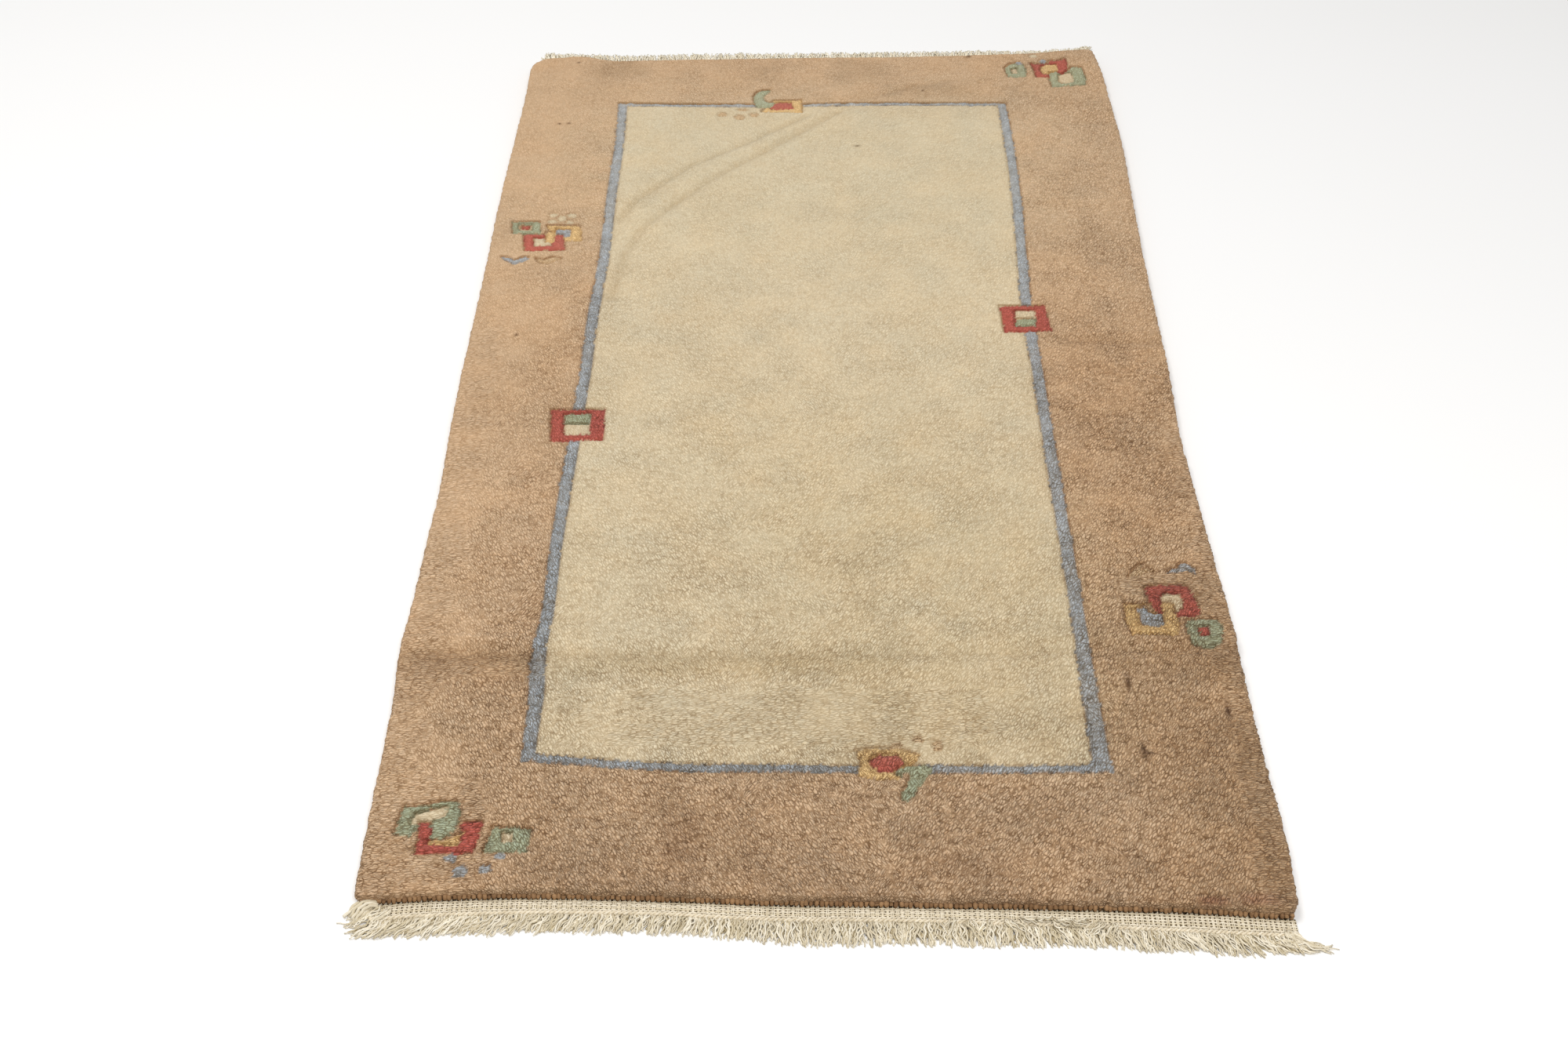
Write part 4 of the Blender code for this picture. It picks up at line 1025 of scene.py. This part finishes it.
def end_web(end):
    """The woven web of one end, warps and wefts together.

    A weft is a wave across the rug that crests over every second pair, and the next weft crests over
    the others. A pair of warps runs out from under the pile, with a smaller wave the other way.
    """
    weave = WEAVES[end.word]
    pairs = int((end.right - end.left) / WARP_PAIR_PITCH)
    pair_x = end.left + (np.arange(pairs) + 0.5) * WARP_PAIR_PITCH
    pair_x = pair_x + chance.uniform(-PAIR_WANDER, PAIR_WANDER, pairs)
    share = np.linspace(0, 1, 2 * weave.wefts)
    warp_x = (pair_x[:, None] + np.array((-0.5, 0.5)) * WARP_GAP_IN_PAIR).ravel()
    xs = warp_x[:, None] + chance.uniform(-WARP_WANDER, WARP_WANDER, (len(warp_x), 1)) * share
    out = -WEB_UNDER_PILE + share * (web_depth(end, xs) + WEB_UNDER_PILE)
    which = np.where(np.repeat(np.arange(pairs), 2) % 2, 1.0, -1.0)
    zs = WEB_MIDDLE + 0.3 * WEFT_WAVE * which[:, None] * np.where(np.arange(len(share)) % 4 < 2, 1.0, -1.0)
    warps = np.stack([xs, beyond(end, xs, out), zs], axis=-1)
    weft_x = np.linspace(end.left, end.right, weave.points_a_pair * pairs)
    wefts = []
    for row in range(weave.wefts):
        wander = WEFT_WANDER * drift(weft_x, 0 * weft_x, 0.012, 60 + row)
        ys = beyond(end, weft_x, (row + 0.6) / weave.wefts * web_depth(end, weft_x) + wander)
        crest = np.cos(math.pi * ((weft_x - end.left) / WARP_PAIR_PITCH - 0.5) + math.pi * row)
        wefts.append(np.stack([weft_x, ys, WEB_MIDDLE + WEFT_WAVE * crest], axis=-1))
    return (yarn_mesh("warps_" + end.word, warps, WARP_RADIUS, weave.sides, woven_cotton),
            yarn_mesh("wefts_" + end.word, wefts, WEFT_RADIUS, weave.sides, woven_cotton))


# Painted shade in the depth of the weave. A dark cotton colour gives the eye the small dark holes between the
# yarns.
shaded_cotton = soft_yarn("cotton between the yarns in painted shade", "#6E6048", "#85755A", 0.6, "#5C4E39", 0.6)
BED_STEPS = 380
BED_TOP = 0.0009
BED_UNDERSIDE = 0.0001


def painted_shade_bed(end):
    """A thin closed strip that the yarns lie on, dark as painted shade in the holes of the weave."""
    x = np.linspace(end.left, end.right, BED_STEPS)
    inner, outer = np.full(BED_STEPS, -WEB_UNDER_PILE), web_depth(end, x)
    ring = [np.stack([x, beyond(end, x, out), np.full(BED_STEPS, z)], axis=-1)
            for out, z in ((inner, BED_UNDERSIDE), (outer, BED_UNDERSIDE),
                           (outer, BED_TOP), (inner, BED_TOP))]
    points = np.stack(ring, axis=1)
    index = np.arange(BED_STEPS * 4).reshape(BED_STEPS, 4)
    here, there = index[:-1], index[1:]
    walls = np.stack([here, np.roll(here, -1, axis=1), np.roll(there, -1, axis=1), there], axis=-1)
    walls = walls.reshape(-1, 4)
    caps = np.stack([index[0, ::-1], index[-1]])
    if end.side > 0:
        walls, caps = walls[:, ::-1], caps[:, ::-1]
    bed = make_mesh("painted_shade_bed_" + end.word, points.reshape(-1, 3), [(walls, 0, False), (caps, 0, False)],
                    [shaded_cotton])
    tint_points(bed, "yarn", np.tile((0.5, 0.5, 0.0), (BED_STEPS * 4, 1)))
    return bed


webs = {end.word: (*end_web(end), painted_shade_bed(end)) for end in RUG_ENDS}

# The twined rows
# Past each web two thick cotton yarns are twisted round each pair of warps in turn, a cord of slanting
# stitches that stops the weft from working out.
TWINE_RADIUS = 0.00100
TWINE_SWING = 0.00105
TWINE_LIFT = 0.00078
TWINE_CLEAR_OF_FLOOR = 0.00003
Twine = namedtuple("Twine", "points_a_stitch sides")
TWINES = {"near": Twine(5, 6), "far": Twine(3, 4)}

# Twined cotton. It gives the eye a soft cord, brighter than the web because it is thicker.
twined_cotton = soft_yarn("twined undyed cotton", "#DBCDB0", "#EEE3CD", 0.5, "#B3A07C", 0.45)


def twined_row(end):
    """Two yarns wound round each other along the rug's end, each a helix squeezed flat."""
    twine = TWINES[end.word]
    stitches = (end.right - end.left) / WARP_PAIR_PITCH
    x = np.linspace(end.left - 0.001, end.right + 0.001, int(stitches * twine.points_a_stitch))
    phase = math.pi * (x - end.left) / WARP_PAIR_PITCH + 0.6 * drift(x, 0 * x, 0.015, 52)
    uneven = 1 + 0.12 * drift(x, 0 * x, 0.006, 51)
    paths = []
    for start in (0.0, math.pi):
        out = web_depth(end, x) + ROW_GAP + ROW_WIDTH / 2 + TWINE_SWING * uneven * np.cos(phase + start)
        z = TWINE_RADIUS + TWINE_LIFT * (1 + np.sin(phase + start) * uneven) + TWINE_CLEAR_OF_FLOOR
        paths.append(np.stack([x, beyond(end, x, out), z], axis=-1))
    return yarn_mesh("twined_row_" + end.word, paths, TWINE_RADIUS, twine.sides, twined_cotton,
                     tones=np.array((0.45, 0.85)))


twined_rows = {end.word: twined_row(end) for end in RUG_ENDS}

# The fringes
# The cut ends of the warps have come apart into strands. Use has combed them: to the left over the
# left half, straight in the middle, and to the right over the right half, in locks that part. Some
# have been thrown back over the web, and at the near left corner a few loose wefts hang out.
Sweep = namedtuple("Sweep", "x sweep length")
NEAR_FRINGE = tuple(map(Sweep._make, (
    (-0.335, -60.0, 0.024),
    (-0.290, -52.0, 0.024),
    (-0.240, -44.0, 0.022),
    (-0.150, -30.0, 0.0195),
    (-0.080, -14.0, 0.0185),
    (-0.040, -6.0, 0.0215),
    (0.060, 4.0, 0.022),
    (0.150, 12.0, 0.021),
    (0.200, 24.0, 0.019),
    (0.250, 32.0, 0.022),
    (0.310, 48.0, 0.023),
    (0.335, 64.0, 0.024),
    (0.350, 84.0, 0.026),
)))
FAR_FRINGE = tuple(map(Sweep._make, (
    (-0.335, -14.0, 0.0195),
    (-0.200, -8.0, 0.0195),
    (0.000, 4.0, 0.0185),
    (0.150, 8.0, 0.0175),
    (0.220, 6.0, 0.0160),
    (0.300, 4.0, 0.0150),
    (0.346, 24.0, 0.0230),
)))
Strands = namedtuple("Strands", "count points sides radius lock layers_high tips_high reach")
STRANDS = {"near": Strands(1150, 10, 4, 0.00074, 0.0060, 0.0038, 0.0006, 1.00),
           "low": Strands(420, 6, 3, 0.00110, 0.0060, 0.0004, 0.0002, 0.76),
           "far": Strands(1000, 5, 4, 0.00072, 0.0060, 0.0030, 0.0024, 1.00)}
STRAND_TIP_SHARE = 0.85
LOCK_TURN = 5.0
OWN_TURN = 8.0
WAVY = 42.0
SWEEP_DRIFT = 9.0
MOST_SWEEP = 84.0
GATHERED = 0.5
TURNS_FROM = 0.25
TURN_RATE = 2.2
ARCH_FROM = 0.06
CLEAR_OF_FLOOR = 0.00005

# Fringe cotton. It gives the eye fine pale threads with grey shadow between them. The low strands are
# the same cotton painted darker, as painted shade under the others, and the far fringe is painted
# lighter, as painted light at that end.
fringe_cotton = {
    "near": soft_yarn("untwisted fringe cotton", "#CFC1A2", "#F6EEDC", 0.3, "#B5A584", 0.45),
    "low": soft_yarn("fringe cotton in the shade of other strands", "#AE9D7A", "#CABB98", 0.4,
                     "#97866A", 0.5),
    "far": soft_yarn("fringe cotton painted lighter", "#E7DBC0", "#FDF7E8", 0.3, "#CDBE9E", 0.25),
}


def strand_paths(end, x, start_out, start_z, sweep, length, strands, draw):
    """Paths of loose strands that start at x, a distance out from the pile.

    Each leaves straight out, then turns to its sweep, an angle from straight out towards +X. The path
    is the running sum of steps along its heading, which also waves a little by itself.
    """
    count = len(x)
    t = np.linspace(0, 1, strands.points)
    phase, waves = draw.uniform(0, 2 * math.pi, (count, 1)), draw.uniform(1.0, 2.6, (count, 1))
    wave = np.radians(draw.uniform(0.3, 1.0, (count, 1)) * WAVY) * np.sin(2 * math.pi * waves * t + phase)
    heading = np.radians(sweep)[:, None] * np.clip(t * TURN_RATE, TURNS_FROM, 1) + wave
    step = length[:, None] / (strands.points - 1)
    still = np.zeros((count, 1))
    across = np.cumsum(np.concatenate([still, (step * np.sin(heading))[:, :-1]], axis=1), axis=1)
    out = np.cumsum(np.concatenate([still, (step * np.cos(heading))[:, :-1]], axis=1), axis=1)
    layer = draw.uniform(0, 1, (count, 1))
    arch = np.sin(math.pi * np.clip(ARCH_FROM + 0.94 * t, 0, 1)) ** 0.8
    z = start_z[:, None] * (1 - t) ** 2 + strands.layers_high * layer * arch
    z = np.maximum(z + strands.tips_high * t * (0.5 + layer), strands.radius + CLEAR_OF_FLOOR)
    y = beyond(end, x[:, None], start_out[:, None]) + end.side * out
    return np.stack([x[:, None] + across, y, z], axis=-1)


def fringe_strands(name, end, fringe, seed, kind):
    """Strands of one end's fringe. Neighbours in a lock share a turn and draw together at their tips."""
    strands, draw = STRANDS[kind], np.random.default_rng(seed)
    count = strands.count
    x = np.linspace(end.left + 0.0005, end.right - 0.0005, count) + draw.uniform(-0.0006, 0.0006, count)
    lock = np.floor(x / strands.lock + 0.5 * drift(x, 0 * x, 0.012, seed)).astype(int)
    lock_turns = draw.normal(0, LOCK_TURN, 512)
    middle = np.bincount(lock - lock.min(), weights=x) / np.maximum(np.bincount(lock - lock.min()), 1)
    length = strands.reach * through(fringe, "length", x) * draw.uniform(0.84, 1.06, count)
    length = length * (1 + 0.05 * drift(x, 0 * x, 0.009, seed + 3))
    gather = np.degrees((middle[lock - lock.min()] - x) / length) * GATHERED
    sweep = through(fringe, "sweep", x) + lock_turns[lock % 512] + gather + draw.normal(0, OWN_TURN, count)
    sweep = sweep + SWEEP_DRIFT * drift(x, 0 * x, 0.022, seed + 1)
    out = web_depth(end, x) + ROW_GAP + ROW_WIDTH * draw.uniform(0.75, 1.05, count)
    sweep = np.clip(sweep, -MOST_SWEEP, MOST_SWEEP)
    paths = strand_paths(end, x, out, draw.uniform(0.0006, 0.0016, count), sweep, length, strands, draw)
    radius = strands.radius * np.linspace(1.0, STRAND_TIP_SHARE, strands.points)
    radius = radius * draw.uniform(0.7, 1.25, (count, 1))
    return yarn_mesh(name, paths, radius, strands.sides, fringe_cotton[kind])


Tuft = namedtuple("Tuft", "x out sweep length strands high spread", defaults=(13.0,))
NEAR_TUFTS = (
    Tuft(0.096, 0.012, -38.0, 0.021, 12, 0.0055),
    Tuft(0.108, 0.013, 30.0, 0.021, 12, 0.0055),
    Tuft(0.122, 0.013, -25.0, 0.021, 12, 0.0050),
    Tuft(0.138, 0.012, 48.0, 0.021, 12, 0.0060),
    Tuft(0.148, 0.011, 118.0, 0.017, 14, 0.0080),
    Tuft(0.160, 0.011, 150.0, 0.015, 14, 0.0085),
    Tuft(0.172, 0.012, 105.0, 0.019, 14, 0.0090),
    Tuft(0.186, 0.012, 135.0, 0.016, 14, 0.0085),
    Tuft(0.205, 0.012, -60.0, 0.022, 14, 0.0070),
    Tuft(0.214, 0.013, -48.0, 0.020, 12, 0.0060),
    Tuft(-0.328, 0.003, -74.0, 0.024, 14, 0.0040),
    Tuft(-0.322, 0.008, -66.0, 0.024, 14, 0.0045),
    Tuft(0.343, 0.012, 80.0, 0.037, 30, 0.0032, 4.0),
    Tuft(-0.335, 0.000, -64.0, 0.017, 18, 0.0036, 9.0),
    Tuft(-0.338, 0.004, -78.0, 0.018, 16, 0.0030, 9.0),
    Tuft(-0.337, 0.008, -72.0, 0.023, 18, 0.0028, 8.0),
)
TUFT_SPREAD = 0.0032
TUFT_START_HIGH = 0.0022
TUFT_TIP_SHARE = 0.7
TUFT_STRANDS = Strands(0, 10, 4, 0.00072, 0.0, 0.0, 0.0004, 1.00)


def tufts(end, table, seed):
    """Tufts of strands that lie their own way over the rest of the fringe and the web."""
    draw = np.random.default_rng(seed)
    paths = []
    for tuft in table:
        count = tuft.strands
        x = tuft.x + draw.uniform(-1, 1, count) * TUFT_SPREAD
        length = tuft.length * draw.uniform(0.60, 1.05, count)
        sweep = tuft.sweep + draw.normal(0, tuft.spread, count)
        out = tuft.out + draw.uniform(-0.0015, 0.0015, count)
        strands = TUFT_STRANDS._replace(layers_high=tuft.high)
        paths.append(strand_paths(end, x, out, np.full(count, TUFT_START_HIGH), sweep, length, strands, draw))
    paths = np.concatenate(paths)
    radius = TUFT_STRANDS.radius * np.linspace(1.0, TUFT_TIP_SHARE, TUFT_STRANDS.points)
    radius = radius * draw.uniform(0.75, 1.2, (len(paths), 1))
    return yarn_mesh("tufts_" + end.word, paths, radius, TUFT_STRANDS.sides, fringe_cotton[end.word])


near_end, far_end = RUG_ENDS
FAR_TUFTS = (Tuft(0.338, 0.004, 30.0, 0.028, 24, 0.0120), Tuft(0.330, 0.006, 8.0, 0.024, 16, 0.0090),
             Tuft(-0.330, 0.006, -16.0, 0.025, 12, 0.0060))
LOOSE_WEFTS_MM = (
    ((-332.0, -694.5, 4.2), (-338.0, -692.5, 8.0), (-345.0, -696.0, 7.2), (-350.0, -706.0, 1.6)),
    ((-331.0, -696.5, 4.0), (-337.0, -694.5, 7.4), (-343.5, -698.5, 6.6), (-348.0, -708.5, 1.5)),
    ((-330.0, -698.5, 3.8), (-336.0, -697.0, 6.6), (-341.5, -701.0, 5.6), (-345.5, -711.0, 1.5)),
    ((-333.0, -692.5, 3.0), (-339.5, -690.0, 6.2), (-347.0, -693.5, 5.8), (-352.5, -703.5, 1.5)),
    ((-334.0, -695.0, 1.8), (-341.0, -694.0, 3.6), (-349.0, -697.5, 3.4), (-354.5, -706.0, 1.4)),
)
LOOSE_WEFT_RADIUS = 0.00135
LOOSE_WEFT_POINTS = 14
LOOSE_WEFT_PLY = 0.0006
LOOSE_WEFT_SIDES = 6


def loose_wefts():
    """Thick weft ends that arch out of the near left corner, each on one smooth curve of four places."""
    t = np.linspace(0, 1, LOOSE_WEFT_POINTS)[:, None]
    weights = ((1 - t) ** 3, 3 * t * (1 - t) ** 2, 3 * t**2 * (1 - t), t**3)
    paths = np.array([sum(weight * np.array(corner) / 1000 for weight, corner in zip(weights, corners))
                      for corners in LOOSE_WEFTS_MM])
    paths[..., 0] += LOOSE_WEFT_PLY * np.sin(7 * math.pi * t[:, 0] + 2.1 * np.arange(len(paths))[:, None])
    return yarn_mesh("loose_wefts", paths, LOOSE_WEFT_RADIUS, LOOSE_WEFT_SIDES, fringe_cotton["near"])


fringes = {"near": [fringe_strands("fringe_near", near_end, NEAR_FRINGE, 61, "near"),
                    fringe_strands("fringe_near_low", near_end, NEAR_FRINGE, 63, "low"),
                    tufts(near_end, NEAR_TUFTS, 62), loose_wefts()],
           "far": [fringe_strands("fringe_far", far_end, FAR_FRINGE, 71, "far"),
                   tufts(far_end, FAR_TUFTS, 72)]}

# What rides on what
# The rug is one body. Each piece stands for the solid that holds its place in the part.
for band in pile_bands:
    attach(band, "root")
    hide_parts("pile")
for end in RUG_ENDS:
    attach(knot_rows[end.word], "root")
    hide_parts("pile")
    for piece in webs[end.word]:
        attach(piece, "root")
        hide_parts("end_web_" + end.word)
    for piece in (twined_rows[end.word], *fringes[end.word]):
        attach(piece, "root")
        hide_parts("fringe_" + end.word)

# The light
# A plain studio: even white light from all round, and two broad soft lamps, one high over the left
# side of the rug and one high behind the camera.
ROOM_STRENGTH = 0.43
Lamp = namedtuple("Lamp", "name place aim side power")
LAMPS = (
    Lamp("overhead lamp", (-1.0, 0.5, 3.2), (0.0, 0.0, 0.0), 1.5, 52.0),
    Lamp("near lamp", (0.5, -2.4, 2.9), (0.0, -0.2, 0.0), 1.5, 64.0),
)

room = bpy.data.worlds.new("room")
room.use_nodes = True
room.node_tree.nodes["Background"].inputs["Color"].default_value = linear("#FFFFFF")
room.node_tree.nodes["Background"].inputs["Strength"].default_value = ROOM_STRENGTH
bpy.context.scene.world = room
for lamp in LAMPS:
    light = bpy.data.lights.new(lamp.name, "AREA")
    light.shape = "SQUARE"
    light.size = lamp.side
    light.energy = lamp.power
    stand = bpy.data.objects.new(lamp.name, light)
    back = Vector(lamp.place) - Vector(lamp.aim)
    stand.matrix_world = Matrix.Translation(lamp.place) @ back.to_track_quat("Z", "Y").to_matrix().to_4x4()
    bpy.context.scene.collection.objects.link(stand)
bpy.context.scene.view_settings.view_transform = "Standard"
